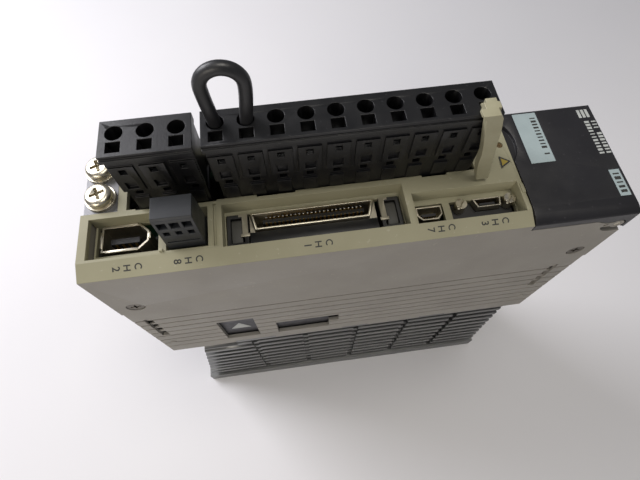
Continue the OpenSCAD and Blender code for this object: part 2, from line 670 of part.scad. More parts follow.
module usb_shell() color("silver") bench()
  metal_shell([[96.7, 9.4], [98.2, 7.7], [103.0, 7.7], [104.5, 9.4], [104.5, 12.2], [96.7, 12.2]],
              [[97.2, 9.6], [98.4, 8.2], [102.8, 8.2], [104, 9.6], [104, 11.7], [97.2, 11.7]], socket_z0 + 4, rim_z - 0.2);

module usb_insulator() color([0.08, 0.08, 0.08]) bench()
  block([98.4, 9.4, socket_z0 + 4.7], [102.8, 10.3, rim_z - 1.4]);

port_screws = [110.1, 125];

module port_shell() color("silver") bench()
  metal_shell([[115.2, 9.6], [122.4, 9.6], [123.0, 12.6], [114.2, 12.6]],
              [[115.7, 10], [121.9, 10], [122.4, 12.2], [114.8, 12.2]], socket_z0 + 5, rim_z + 0.3);

module port_insulator() color([0.08, 0.08, 0.08]) bench() {
  difference() {
    block([107.6, 6.9, socket_z0 + 4], [126.4, 12.62, rim_z - 2.2]);
    slab_z([[115.1, 9.5], [122.5, 9.5], [123.1, 12.7], [114.1, 12.7]], socket_z0 + 4.9, rim_z);
    for (x = port_screws) bar_z(x, 10.9, socket_z0 + 6, rim_z, 1.2);
  }
  block([116.4, 10.7, socket_z0 + 5.7], [121.2, 11.5, rim_z - 0.8]);
}

module jackscrews() color("silver") bench()
  for (x = port_screws) difference() {
    union() {
      bar_z(x, 10.9, socket_z0 + 7, rim_z, 1.15);
      bar_z(x, 10.9, rim_z - 2.1, rim_z + 1.6, 1.75);
    }
    translate([x, 10.9, rim_z + 1.4]) rotate(55) cube([4, 0.6, 1.4], center = true);
  }

// ---------- inside ----------
standoff_at = [[16, 122], [86, 122], [146, 122], [16, 143], [118, 146]];

module board(y) difference() {
  union() {
    block([11, y, 118], [149, y + board_t, 150]);
    block([11, y, 149.9], [126, y + board_t, floor_z - 2.2]);
  }
  for (p = standoff_at) bar_y(p.x, p.y, y - 1, y + board_t + 1, 1.6);
}

module control_board() color("darkgreen") bench() board(control_y);

module board_chips() color([0.12, 0.12, 0.13]) bench() {
  block([58, control_y - 1.6, 124], [80, control_y - 0.02, 146]);
  block([34, control_y - 1.2, 126], [46, control_y - 0.02, 134]);
  block([34, control_y - 1.2, 138], [50, control_y - 0.02, 148]);
  block([98, control_y - 1.4, 126], [110, control_y - 0.02, 144]);
}

module power_board() color("darkgreen") bench() difference() {
  union() {
    block([11, power_y, 86], [149, power_y + board_t, 145]);
    block([11, power_y, 144.9], [126, power_y + board_t, 160]);
  }
  for (x = [18, 142]) bar_y(x, platform_z + 5, power_y - 1, power_y + board_t + 1, 1.6);
  for (i = [0:main_poles - 1])
    block([pole_x(main_x, i) - 0.7, power_y - 1, header_z0 - 3.2], [pole_x(main_x, i) + 0.7, power_y + 3, header_z0 - 1.8]);
  for (i = [0:motor_poles - 1])
    block([pole_x(motor_x, i) - 0.7, power_y - 1, header_z0 - 3.2],
          [pole_x(motor_x, i) + 0.7, power_y + 3, header_z0 - 1.8]);
}

module board_link() color([0.9, 0.88, 0.8]) bench()
  block([124, control_y + board_t + 0.02, 128], [140, power_y - 0.02, 134]);

module power_module() color([0.14, 0.14, 0.15]) bench() {
  block([22, 6, platform_z + 0.3], [56, 30, platform_z + 7]);
  for (x = [25:4:53]) block([x, 29, platform_z + 5], [x + 1, power_y - 0.02, platform_z + 6]);
}

module bus_capacitors() color("midnightblue") bench()
  for (x = [58, 98]) {
    bar_x(20, 103, x, x + 38, 11.5);
    for (dz = [-3, 3]) block([x + 17, 31, 102.5 + dz], [x + 18, power_y - 0.02, 103.5 + dz]);
  }

module filter_choke() color("darkorange") bench()
  translate([68, 28, 131]) rotate([90, 0, 0]) {
    rotate_extrude() translate([6, 0]) circle(3.4);
    translate([-1, -9.3, -7.55]) cube([2, 2, 8]);
    translate([-1, 7.3, -7.55]) cube([2, 2, 8]);
  }

module inrush_relay() color([0.85, 0.8, 0.6]) bench()
  block([28, 22, 126], [48, power_y - 0.02, 138]);

module standoffs() color("goldenrod") bench()
  for (p = standoff_at) difference() {
    bar_y(p.x, p.y, control_y + board_t + 0.02, power_y - 0.02, 2.6);
    bar_y(p.x, p.y, control_y, control_y + 8, 1.3);
  }

module board_screws() color("silver") bench() {
  for (p = standoff_at) {
    bar_y(p.x, p.y, control_y - 1.6, control_y - 0.02, 2.6);
    bar_y(p.x, p.y, control_y - 0.1, control_y + 7, 1.25);
  }
  for (x = [18, 142]) {
    bar_y(x, platform_z + 5, power_y + board_t + 0.02, power_y + board_t + 0.5, 2.6);
    bar_y(x, platform_z + 5, power_y - 4, power_y + board_t + 0.1, 1.25);
  }
}

heat_sink();
main_case();
left_cover();
front_bezel();
side_shield();
ground_plate();
ground_washers();
ground_screws();
case_screws();
display_cover();
cover_label();
rating_label();
hinge_pins();
operator_panel();
display_window();
digit_display();
status_leds();
panel_board();
key_switches();
mode_key();
up_key();
down_key();
set_key();
main_header();
main_header_pins();
main_plug();
main_plug_clamps();
motor_header();
motor_header_pins();
motor_plug();
motor_plug_clamps();
jumper_wire();
jumper_ferrules();
opener_lever();
safety_socket();
safety_socket_pins();
safety_plug();
encoder_shell();
encoder_insulator();
io_shell();
io_insulator();
io_contacts();
io_latches();
usb_shell();
usb_insulator();
port_shell();
port_insulator();
jackscrews();
charge_lamp();
control_board();
board_chips();
power_board();
board_link();
power_module();
bus_capacitors();
filter_choke();
inrush_relay();
standoffs();
board_screws();
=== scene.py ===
"""Studio scene of a slim servo drive lying on its back: finishes, fine pieces, camera and light."""
import json
import logging
import math
from collections.abc import Iterable
from dataclasses import dataclass, field
from enum import Enum

import bmesh
import bpy
from mathutils import Matrix, Vector

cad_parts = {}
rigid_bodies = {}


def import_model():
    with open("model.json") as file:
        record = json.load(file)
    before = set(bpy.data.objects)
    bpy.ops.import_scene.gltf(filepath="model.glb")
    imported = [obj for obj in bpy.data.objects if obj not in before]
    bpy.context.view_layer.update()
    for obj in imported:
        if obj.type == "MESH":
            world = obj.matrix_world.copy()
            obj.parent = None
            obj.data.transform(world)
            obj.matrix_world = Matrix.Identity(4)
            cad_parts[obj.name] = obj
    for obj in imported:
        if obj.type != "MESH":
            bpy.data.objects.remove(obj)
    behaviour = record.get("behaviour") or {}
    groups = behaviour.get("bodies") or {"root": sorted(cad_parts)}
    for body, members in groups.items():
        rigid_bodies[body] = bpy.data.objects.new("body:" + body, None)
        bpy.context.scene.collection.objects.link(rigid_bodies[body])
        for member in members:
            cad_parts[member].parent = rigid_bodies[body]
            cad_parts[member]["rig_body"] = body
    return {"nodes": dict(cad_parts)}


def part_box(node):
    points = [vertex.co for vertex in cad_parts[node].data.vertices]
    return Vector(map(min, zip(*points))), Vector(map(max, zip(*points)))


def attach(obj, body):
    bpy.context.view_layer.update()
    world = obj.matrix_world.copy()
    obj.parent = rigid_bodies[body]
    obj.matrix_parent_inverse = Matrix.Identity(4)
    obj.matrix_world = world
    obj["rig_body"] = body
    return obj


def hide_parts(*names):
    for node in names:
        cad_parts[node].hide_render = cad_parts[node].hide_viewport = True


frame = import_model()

log = logging.getLogger("servo_drive")
MM = 0.001
Pair = tuple[float, float]
Triple = tuple[float, float, float]
# Points closer than this are made one, and faces that meet flatter than this too.
MERGE_M = 2e-6
FLAT_DEG = 0.6
# Edges sharper than this are shaded sharp and rounded. The small solids use the second angle.
SHARP_DEG = 34.0
CREASE_RAD = 0.7
# Thickness of printed ink.
INK_MM = 0.02


# ---------- small tools ----------
def linear(code: str) -> tuple[float, float, float, float]:
    """Turns an sRGB hex colour to linear.

    Args:
        code: A colour such as "#8a8672".

    Returns:
        Linear red, green and blue, and an alpha of 1.
    """
    parts = (int(code[i : i + 2], 16) / 255 for i in (1, 3, 5))
    return (*(v / 12.92 if v <= 0.04045 else ((v + 0.055) / 1.055) ** 2.4 for v in parts), 1.0)


def put(tree: bpy.types.NodeTree, kind: str, feeds: dict | None = None, **settings: object) -> bpy.types.Node:
    """Adds a node with its settings and links.

    Args:
        tree: The shader or geometry tree.
        kind: The node's type name.
        feeds: Input name or number, with the value or the output socket that feeds it.
        **settings: Properties of the node.

    Returns:
        The new node.
    """
    node = tree.nodes.new(kind)
    for name, value in settings.items():
        setattr(node, name, value)
    for key, value in (feeds or {}).items():
        if isinstance(value, bpy.types.NodeSocket):
            tree.links.new(value, node.inputs[key])
        else:
            node.inputs[key].default_value = value
    return node


def stand(name: str, data: bpy.types.ID) -> bpy.types.Object:
    """Makes an object of a mesh, curve, lamp or camera and links it to the scene."""
    made = bpy.data.objects.new(name, data)
    bpy.context.scene.collection.objects.link(made)
    return made


def to_mesh(name: str, work: bmesh.types.BMesh) -> bpy.types.Mesh:
    """Turns a working mesh into a plain one and frees it."""
    made = bpy.data.meshes.new(name)
    work.to_mesh(made)
    work.free()
    return made


def bake(holder: bpy.types.Object) -> bpy.types.Mesh:
    """Gives what an object evaluates to as a plain mesh, and removes the object."""
    made = bpy.data.meshes.new_from_object(holder.evaluated_get(bpy.context.evaluated_depsgraph_get()))
    bpy.data.objects.remove(holder)
    return made


# ---------- finishes ----------
@dataclass(frozen=True)
class Finish:
    """A real material and how its surface was made.

    Attributes:
        title: The material's common name.
        slot: The material slot of the record; not used.
        colour: Main colour.
        second: Colour that it drifts to in soft patches.
        rough: Roughness of the surface.
        metallic: 1 for bare metal, 0 for the rest.
        ior: Index of refraction of what isn't metal.
        patch_mm: Size of the soft patches.
        patch_reach: How far the patches go to the second colour.
        grain_mm: Size of the surface grain.
        grain_um: Depth of the surface grain.
        along: Stretch of the pattern, below 1 along the direction of the streaks.
        speck: Colour of small specks, or nothing.
        speck_mm: Size of the specks' pattern.
        coat: Weight of a clear coat.
        clear: Share of light let through.
    """

    title: str
    slot: str
    colour: str
    second: str
    rough: float
    metallic: float = 0.0
    ior: float = 1.5
    patch_mm: float = 14.0
    patch_reach: float = 0.6
    grain_mm: float = 0.6
    grain_um: float = 20.0
    along: Triple = (1.0, 1.0, 1.0)
    speck: str = ""
    speck_mm: float = 3.0
    coat: float = 0.0
    clear: float = 0.0

    def noise(
        self, tree: bpy.types.NodeTree, place: bpy.types.NodeSocket, size_mm: float, detail: float = 3.0,
    ) -> bpy.types.NodeSocket:
        """Gives a noise pattern.

        Args:
            tree: The shader tree.
            place: Coordinates in metres.
            size_mm: Size of the pattern.
            detail: Octaves of the noise.

        Returns:
            The pattern's value socket.
        """
        return put(
            tree, "ShaderNodeTexNoise", {"Vector": place, "Scale": 1 / (size_mm * MM), "Detail": detail},
        ).outputs[0]

    def tone(self, tree: bpy.types.NodeTree, place: bpy.types.NodeSocket) -> bpy.types.NodeSocket:
        """Gives the surface's colour.

        Args:
            tree: The shader tree.
            place: Coordinates in metres.

        Returns:
            The colour socket.
        """
        patches = self.noise(tree, place, self.patch_mm, 5.0)
        share = put(
            tree, "ShaderNodeMapRange",
            {"Value": patches, "From Min": 0.32, "From Max": 0.68, "To Max": self.patch_reach},
        ).outputs[0]
        tone = put(
            tree, "ShaderNodeMix", {0: share, 6: linear(self.colour), 7: linear(self.second)},
            data_type="RGBA",
        ).outputs[2]
        if self.speck:
            dots = self.noise(tree, place, self.speck_mm, 8.0)
            few = put(
                tree, "ShaderNodeMapRange",
                {"Value": dots, "From Min": 0.66, "From Max": 0.72, "To Max": 0.6},
            ).outputs[0]
            tone = put(
                tree, "ShaderNodeMix", {0: few, 6: tone, 7: linear(self.speck)}, data_type="RGBA",
            ).outputs[2]
        return tone

    def material(self) -> bpy.types.Material:
        """Builds the material, or gives the one already built."""
        made = bpy.data.materials.get(self.title)
        if made:
            return made
        made = bpy.data.materials.new(self.title)
        made.use_nodes = True
        tree = made.node_tree
        tree.nodes.clear()
        where = put(tree, "ShaderNodeTexCoord").outputs["Object"]
        place = put(tree, "ShaderNodeMapping", {"Vector": where, "Scale": self.along}).outputs[0]
        grain = self.noise(tree, place, self.grain_mm)
        relief = put(
            tree, "ShaderNodeBump", {"Height": grain, "Distance": self.grain_um * 1e-6, "Strength": 1.0},
        ).outputs[0]
        worn = self.noise(tree, place, self.patch_mm * 0.6, 4.0)
        rough = put(
            tree, "ShaderNodeMapRange",
            {
                "Value": worn, "From Min": 0.3, "From Max": 0.7, "To Min": self.rough - 0.06,
                "To Max": self.rough + 0.08,
            },
        ).outputs[0]
        feeds: dict = {"Base Color": self.tone(tree, place), "Roughness": rough, "Normal": relief}
        fixed: dict = {"Metallic": self.metallic, "Coat Weight": self.coat, "Transmission Weight": self.clear}
        if not self.metallic:
            fixed["IOR"] = self.ior
        body = put(tree, "ShaderNodeBsdfPrincipled", {**feeds, **fixed})
        put(tree, "ShaderNodeOutputMaterial", {"Surface": body.outputs[0]})
        return made


@dataclass(frozen=True)
class SolderMask(Finish):
    """A printed board's green mask over copper tracks.

    Attributes:
        track_mm: Distance from track to track.
        field_mm: Size of a field in which the tracks run one way.
        copper: Colour of a track under the mask.
    """

    track_mm: float = 1.27
    field_mm: float = 9.0
    copper: str = "#2c6b45"

    def tone(self, tree: bpy.types.NodeTree, place: bpy.types.NodeSocket) -> bpy.types.NodeSocket:
        """Gives the mask's colour, lighter over the tracks.

        Args:
            tree: The shader tree.
            place: Coordinates in metres.

        Returns:
            The colour socket.
        """
        base = super().tone(tree, place)
        parts = put(tree, "ShaderNodeSeparateXYZ", {0: place})
        cells = put(
            tree, "ShaderNodeTexVoronoi", {"Vector": place, "Scale": 1 / (self.field_mm * MM)},
            distance="CHEBYCHEV",
        )
        pick = put(tree, "ShaderNodeSeparateColor", {0: cells.outputs["Color"]}).outputs[0]
        turned = put(tree, "ShaderNodeMath", {0: pick, 1: 0.5}, operation="GREATER_THAN").outputs[0]
        run = put(tree, "ShaderNodeMix", {0: turned, 2: parts.outputs[0], 3: parts.outputs[2]}).outputs[0]
        step = put(tree, "ShaderNodeMath", {0: run, 1: self.track_mm * MM}, operation="DIVIDE").outputs[0]
        saw = put(tree, "ShaderNodeMath", {0: step}, operation="FRACT").outputs[0]
        line = put(tree, "ShaderNodeMath", {0: saw, 1: 0.34}, operation="LESS_THAN").outputs[0]
        used = put(tree, "ShaderNodeSeparateColor", {0: cells.outputs["Color"]}).outputs[1]
        kept = put(tree, "ShaderNodeMath", {0: used, 1: 0.3}, operation="GREATER_THAN").outputs[0]
        both = put(tree, "ShaderNodeMath", {0: line, 1: kept}, operation="MULTIPLY").outputs[0]
        return put(
            tree, "ShaderNodeMix", {0: both, 6: base, 7: linear(self.copper)}, data_type="RGBA",
        ).outputs[2]


# Extruded aluminium: a grey metal with fine draw lines along X, so its shine spreads across them.
EXTRUDED_ALUMINIUM = Finish(
    "extruded_aluminium", "sink_aluminium", "#848583", "#6c6b6c", 0.42, 1.0, patch_mm=9, grain_mm=0.5,
    grain_um=14, along=(0.04, 1, 1), speck="#a2a29e", speck_mm=2.2,
)
# Moulded PC/ABS, spark-eroded texture: warm grey, dull, with faint clouds. Its grain of 0.3 mm is drawn
# at 0.7 mm to show.
CASE_ABS = Finish(
    "moulded_case_abs", "case_plastic", "#96928a", "#89857e", 0.62, ior=1.53, patch_mm=22, grain_mm=0.7,
    grain_um=32, speck="#a39c90", speck_mm=1.6,
)
# The same plastic on the front: as dull, a little lighter and yellower.
BEZEL_ABS = Finish(
    "moulded_bezel_abs", "bezel_plastic", "#9a967c", "#8e8a70", 0.58, ior=1.53, patch_mm=18, grain_mm=0.7,
    grain_um=28, speck="#a9a48f", speck_mm=1.4,
)
# Tinted polycarbonate of the display cover: near black, satin, with a hint of the light.
COVER_PC = Finish(
    "satin_black_polycarbonate", "cover_plastic", "#1b1a1c", "#222125", 0.36, ior=1.58, patch_mm=16,
    grain_mm=0.5, grain_um=8, speck="#4a484c", speck_mm=1.2,
)
# Printed polyester film: cool pale grey, satin.
LABEL_FILM = Finish(
    "polyester_label_film", "label_film", "#a3b1b2", "#97a5a7", 0.4, ior=1.6, patch_mm=5, grain_mm=0.4,
    grain_um=3,
)
# Printing inks on film and plastic: matt, thin and even.
DARK_INK = Finish(
    "dark_print_ink", "label_film", "#2b2b29", "#383836", 0.55, patch_mm=2, grain_mm=0.3, grain_um=3,
)
PALE_INK = Finish(
    "pale_print_ink", "label_film", "#b9bcb8", "#9fa3a0", 0.55, patch_mm=2, grain_mm=0.3, grain_um=3,
)
YELLOW_INK = Finish(
    "yellow_print_ink", "label_film", "#9a8634", "#86752c", 0.55, patch_mm=2, grain_mm=0.3, grain_um=3,
)
# Phosphated steel sheet: dark grey, with soft crystals.
PHOSPHATED_STEEL = Finish(
    "phosphated_steel_sheet", "shield_steel", "#4d4d50", "#5c5b5e", 0.5, 1.0, patch_mm=4, grain_mm=0.8,
    grain_um=10,
)
# Tin-plated sheet: pale, soft shine with rolling marks.
TINNED_STEEL = Finish(
    "tinned_steel_sheet", "ground_steel", "#838384", "#706f73", 0.5, 1.0, patch_mm=5, grain_mm=0.5,
    grain_um=8, along=(1, 0.15, 1),
)
# Nickel-plated screws: warm bright metal, with small handling marks.
NICKEL_SCREW = Finish(
    "nickel_plated_screw_steel", "screw_steel", "#dcd5c2", "#b5ad9a", 0.3, 1.0, patch_mm=2.5, grain_mm=0.35,
    grain_um=9,
)
# Blackened case screws: dull and a little brown.
BLACKENED_STEEL = Finish(
    "blackened_screw_steel", "screw_steel", "#6b655b", "#575249", 0.4, 1.0, patch_mm=2, grain_mm=0.35,
    grain_um=9,
)
# Panel behind the cover: dark grey moulded plastic.
PANEL_ABS = Finish(
    "moulded_panel_abs", "panel_plastic", "#4b4a46", "#42413d", 0.6, ior=1.53, patch_mm=12, grain_mm=0.6,
    grain_um=20,
)
# Smoked red acrylic over the digits: dark, glossy, lets a little light through.
SMOKED_ACRYLIC = Finish(
    "smoked_acrylic", "smoked_lens", "#3a0f0d", "#2c0b0a", 0.12, ior=1.49, patch_mm=8, grain_mm=1.0,
    grain_um=1, clear=0.6,
)
# Unlit digits: dark red epoxy segments, a little shiny, in a matt grey body.
SEGMENT_EPOXY = Finish(
    "red_segment_epoxy", "display_segments", "#8e2a22", "#7a211b", 0.3, ior=1.55, patch_mm=3, grain_mm=0.5,
    grain_um=3,
)
SEGMENT_BODY = Finish(
    "grey_display_body", "display_segments", "#2a2a2c", "#343437", 0.5, patch_mm=6, grain_mm=0.4,
    grain_um=8,
)
# Cast epoxy lamps, unlit: small glossy domes in clear green, and in brownish amber for the charge lamp.
LED_EPOXY = Finish(
    "green_led_epoxy", "led_lens", "#4f7f3c", "#416a32", 0.15, ior=1.55, patch_mm=1, grain_mm=0.4,
    grain_um=2, clear=0.3,
)
AMBER_EPOXY = Finish(
    "amber_lamp_epoxy", "lamp_lens", "#6e5836", "#5c492c", 0.25, ior=1.55, patch_mm=1, grain_mm=0.4,
    grain_um=2, clear=0.2,
)
# Key caps: pale moulded plastic, polished by fingers.
KEY_ABS = Finish(
    "polished_key_abs", "key_plastic", "#b5b2a8", "#a4a198", 0.35, ior=1.53, patch_mm=2, grain_mm=0.4,
    grain_um=6,
)
# Terminals: black glass-filled nylon, dull, with faint grey flow clouds.
NYLON = Finish(
    "black_glass_filled_nylon", "terminal_plastic", "#0d0d0f", "#141416", 0.37, ior=1.53, patch_mm=10,
    grain_mm=0.6, grain_um=30, speck="#3c3c3e", speck_mm=1.1,
)
# Grey nylon of the two-row plug: bluer and duller than the black.
GREY_NYLON = Finish(
    "blue_grey_nylon", "terminal_plastic", "#1f2226", "#272a2f", 0.46, ior=1.53, patch_mm=7, grain_mm=0.6,
    grain_um=24,
)
# Zinc-plated clamp cages and springs: cool grey metal with a soft shine.
ZINC_CLAMP = Finish(
    "zinc_plated_clamp_steel", "clamp_steel", "#8f9194", "#76787c", 0.34, 1.0, patch_mm=3, grain_mm=0.4,
    grain_um=8,
)
# Gold flash on brass contacts: warm yellow metal, shiny but not a mirror.
GOLD_CONTACT = Finish(
    "gold_flashed_brass", "contact_brass", "#c2a366", "#a98b50", 0.42, 1.0, patch_mm=2, grain_mm=0.3,
    grain_um=4,
)
# PVC wire jacket: black, slightly shiny, with soft wrinkles.
PVC_JACKET = Finish(
    "black_pvc_jacket", "wire_jacket", "#202022", "#2b2b2d", 0.4, ior=1.53, patch_mm=6, grain_mm=1.2,
    grain_um=40,
)
# Ivory acetal lever: waxy, a little yellowed.
IVORY_ACETAL = Finish(
    "ivory_acetal", "lever_plastic", "#a8a48a", "#999478", 0.42, ior=1.48, patch_mm=5, grain_mm=0.7,
    grain_um=14,
)
# Nickel-plated socket shells: thin sheet, warm and bright.
NICKEL_SHELL = Finish(
    "nickel_plated_shell", "shell_steel", "#cdc6b4", "#aba594", 0.36, 1.0, patch_mm=3, grain_mm=0.4,
    grain_um=8,
)
# The signal socket's sheet clips: tin plate gone matt, so it keeps a soft even grey.
MATT_TIN = Finish(
    "matt_tin_plate", "shell_steel", "#a8a290", "#8f8a7a", 0.5, 0.6, patch_mm=3, grain_mm=0.5, grain_um=10,
    along=(0.2, 1, 1),
)
# Insulators, flange and latch blocks: black glass-filled polyester, dull.
POLYESTER = Finish(
    "black_glass_filled_polyester", "insulator_plastic", "#17181a", "#211f1c", 0.45, ior=1.55, patch_mm=5,
    grain_mm=0.5, grain_um=14,
)
# Printed boards: green mask, satin, with the copper tracks a little lighter under it.
BOARD_MASK = SolderMask(
    "green_solder_mask", "board_laminate", "#1d4a31", "#1a422c", 0.35, ior=1.55, patch_mm=20, grain_mm=0.5,
    grain_um=5, coat=0.3,
)
# Chips and power module: black moulded epoxy, matt.
MOULD_EPOXY = Finish(
    "black_moulding_epoxy", "insulator_plastic", "#242427", "#2d2d30", 0.55, ior=1.55, patch_mm=6,
    grain_mm=0.4, grain_um=10,
)
# Moulded polyester of the link and the relay: cream, satin.
CREAM_POLYESTER = Finish(
    "cream_polyester", "link_plastic", "#cbc3a6", "#bdb597", 0.5, ior=1.55, patch_mm=8, grain_mm=0.5,
    grain_um=12,
)
# Shrink sleeve of the capacitors: deep blue, glossy with soft waves.
SHRINK_SLEEVE = Finish(
    "blue_shrink_sleeve", "capacitor_sleeve", "#1b2a4d", "#223358", 0.28, ior=1.53, patch_mm=12,
    grain_mm=3.0, grain_um=30,
)
# Enamelled copper wire: reddish and shiny. The core it is wound on: powder-coated yellow, finely pebbled.
ENAMELLED_COPPER = Finish(
    "enamelled_copper_wire", "choke_coating", "#b4632c", "#9c5222", 0.3, 1.0, patch_mm=3, grain_mm=0.5,
    grain_um=6,
)
POWDER_COAT = Finish(
    "yellow_powder_coat", "choke_coating", "#a8922f", "#968126", 0.5, patch_mm=3, grain_mm=0.5, grain_um=16,
)
# Turned brass standoffs: yellow metal with fine turning marks.
TURNED_BRASS = Finish(
    "turned_brass", "contact_brass", "#b7a05e", "#a38d4f", 0.3, 1.0, patch_mm=3, grain_mm=0.3, grain_um=6,
    along=(1, 3, 1),
)
# The floor's painted board: off-white and matt, with very soft clouds.
PAINTED_BOARD = Finish(
    "pale_painted_board", "", "#e9e8ea", "#e4e3e6", 0.75, patch_mm=160, grain_mm=1.5, grain_um=10,
)


# ---------- making meshes ----------
@dataclass(frozen=True)
class Bench:
    """The corner from which every place is measured, in millimetres.

    Attributes:
        corner: The corner in the frame, in metres.
    """

    corner: Vector

    def matrix(self) -> Matrix:
        """Gives the matrix from bench millimetres to the frame's metres."""
        return Matrix.Translation(self.corner) @ Matrix.Scale(MM, 4)

    def span(self, node: str) -> tuple[Vector, Vector]:
        """Gives a node's box in bench millimetres.

        Args:
            node: The node's name.

        Returns:
            Its lowest and highest corner.
        """
        low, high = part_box(node)
        return (low - self.corner) / MM, (high - self.corner) / MM


class Shape:
    """Collects small solids in bench millimetres and turns them into one mesh."""

    def __init__(self) -> None:
        """Starts with no solids."""
        self.work = bmesh.new()

    def prism(self, outline: Iterable[Pair], axis: str, low: float, high: float) -> "Shape":
        """Adds an outline drawn out along an axis.

        Args:
            outline: Corners in the two other directions.
            axis: "x", "y" or "z".
            low: Where it starts.
            high: Where it ends.

        Returns:
            The shape itself.
        """
        def spot(a: float, b: float, t: float) -> Triple:
            """Puts the three numbers in order."""
            return {"x": (t, a, b), "y": (a, t, b), "z": (a, b, t)}[axis]

        corners = list(outline)
        rings = [[self.work.verts.new(spot(a, b, t)) for a, b in corners] for t in (low, high)]
        sides = len(corners)
        faces = [rings[0][::-1], rings[1]]
        faces += [
            [rings[0][i], rings[0][(i + 1) % sides], rings[1][(i + 1) % sides], rings[1][i]]
            for i in range(sides)
        ]
        for ring in faces:
            self.work.faces.new(ring)
        return self

    def block(self, low: Triple, high: Triple) -> "Shape":
        """Adds a block between two corners."""
        (x0, y0, z0), (x1, y1, z1) = low, high
        return self.prism([(x0, y0), (x1, y0), (x1, y1), (x0, y1)], "z", z0, z1)

    def disc(
        self, centre: Pair, radius: float, axis: str, low: float, high: float, sides: int = 16,
    ) -> "Shape":
        """Adds a round bar.

        Args:
            centre: Its centre in the two other directions.
            radius: Its radius.
            axis: The direction it runs in.
            low: Where it starts.
            high: Where it ends.
            sides: Number of sides.

        Returns:
            The shape itself.
        """
        turns = [2 * math.pi * i / sides for i in range(sides)]
        rim = [(centre[0] + radius * math.cos(t), centre[1] + radius * math.sin(t)) for t in turns]
        return self.prism(rim, axis, low, high)

    def soften(self, width: float) -> "Shape":
        """Rounds the sharp edges by a width in millimetres."""
        bmesh.ops.recalc_face_normals(self.work, faces=self.work.faces[:])
        sharp = [e for e in self.work.edges if len(e.link_faces) == 2 and e.calc_face_angle(0) > CREASE_RAD]
        bmesh.ops.bevel(
            self.work, geom=sharp, offset=width, segments=2, profile=0.5, affect="EDGES", clamp_overlap=True,
        )
        return self

    def mesh(self, name: str, place: Matrix | None = None) -> bpy.types.Mesh:
        """Turns the solids into a mesh.

        Args:
            name: The mesh's name.
            place: A matrix to put it in place, or nothing.

        Returns:
            The mesh, with its faces pointing outwards.
        """
        bmesh.ops.recalc_face_normals(self.work, faces=self.work.faces[:])
        made = to_mesh(name, self.work)
        if place:
            made.transform(place)
        shade(made)
        return made


def shade(mesh: bpy.types.Mesh) -> None:
    """Shades a mesh smooth, apart from its sharp edges."""
    mesh.polygons.foreach_set("use_smooth", [True] * len(mesh.polygons))
    mesh.set_sharp_from_angle(angle=math.radians(SHARP_DEG))


def add_piece(
    name: str, mesh: bpy.types.Mesh, finish: Finish, body: str, *stands_for: str,
) -> bpy.types.Object:
    """Adds a finished piece.

    Args:
        name: The piece's name.
        mesh: Its mesh, in the frame.
        finish: Its finish.
        body: The body that it moves with.
        *stands_for: Nodes that it replaces.

    Returns:
        The piece.
    """
    piece = stand(name, mesh)
    mesh.materials.clear()
    mesh.materials.append(finish.material())
    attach(piece, body)
    if stands_for:
        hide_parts(*stands_for)
    log.info("piece %s: %d faces, on %s", name, len(mesh.polygons), body)
    return piece


@dataclass(frozen=True)
class Skin:
    """How one node is dressed.

    Attributes:
        node: The node's name.
        finish: Its finish.
        edge_mm: Width of its rounded edges, or 0 to keep the mesh as it is.
        many_openings: Whether its faces are pierced so often that they have to be split.
    """

    node: str
    finish: Finish
    edge_mm: float = 0.0
    many_openings: bool = False

    def apply(self) -> None:
        """Dresses the node, or makes a rounded copy that stands for it."""
        source = frame["nodes"][self.node]
        if not self.edge_mm:
            source.data.materials.clear()
            source.data.materials.append(self.finish.material())
            log.info("node %s: %s", self.node, self.finish.title)
            return
        work = bmesh.new()
        work.from_mesh(source.data)
        bmesh.ops.remove_doubles(work, verts=work.verts[:], dist=MERGE_M)
        flat = math.radians(FLAT_DEG)
        bmesh.ops.dissolve_limit(work, angle_limit=flat, verts=work.verts[:], edges=work.edges[:])
        if self.many_openings:
            # Triangles keep the rounded edges from pulling faces across the openings.
            bmesh.ops.triangulate(work, faces=work.faces[:])
        mesh = to_mesh(self.node + "_finished", work)
        shade(mesh)
        piece = add_piece(self.node + "_finished", mesh, self.finish, source["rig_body"], self.node)
        edges = piece.modifiers.new("rounded_edges", "BEVEL")
        edges.width, edges.segments = self.edge_mm * MM, 2
        edges.limit_method, edges.angle_limit = "ANGLE", math.radians(SHARP_DEG)
        edges.use_clamp_overlap, edges.harden_normals = False, True


# ---------- geometry trees ----------
def new_tree(name: str, inputs: dict[str, str]) -> tuple[bpy.types.NodeTree, bpy.types.Node]:
    """Starts a geometry tree.

    Args:
        name: Its name.
        inputs: Input names and kinds.

    Returns:
        The tree and its input node.
    """
    tree = bpy.data.node_groups.new(name, "GeometryNodeTree")
    for label, kind in {"Geometry": "Geometry", **inputs, "Material": "Material"}.items():
        tree.interface.new_socket(name=label, in_out="INPUT", socket_type=f"NodeSocket{kind}")
    tree.interface.new_socket(name="Geometry", in_out="OUTPUT", socket_type="NodeSocketGeometry")
    return tree, put(tree, "NodeGroupInput")


def close_tree(
    tree: bpy.types.NodeTree, source: bpy.types.Node, geometry: bpy.types.NodeSocket,
) -> bpy.types.NodeTree:
    """Ends a geometry tree in real, dressed geometry."""
    real = put(tree, "GeometryNodeRealizeInstances", {0: geometry}).outputs[0]
    dressed = put(
        tree, "GeometryNodeSetMaterial", {"Geometry": real, "Material": source.outputs["Material"]},
    ).outputs[0]
    put(tree, "NodeGroupOutput", {0: dressed})
    return tree


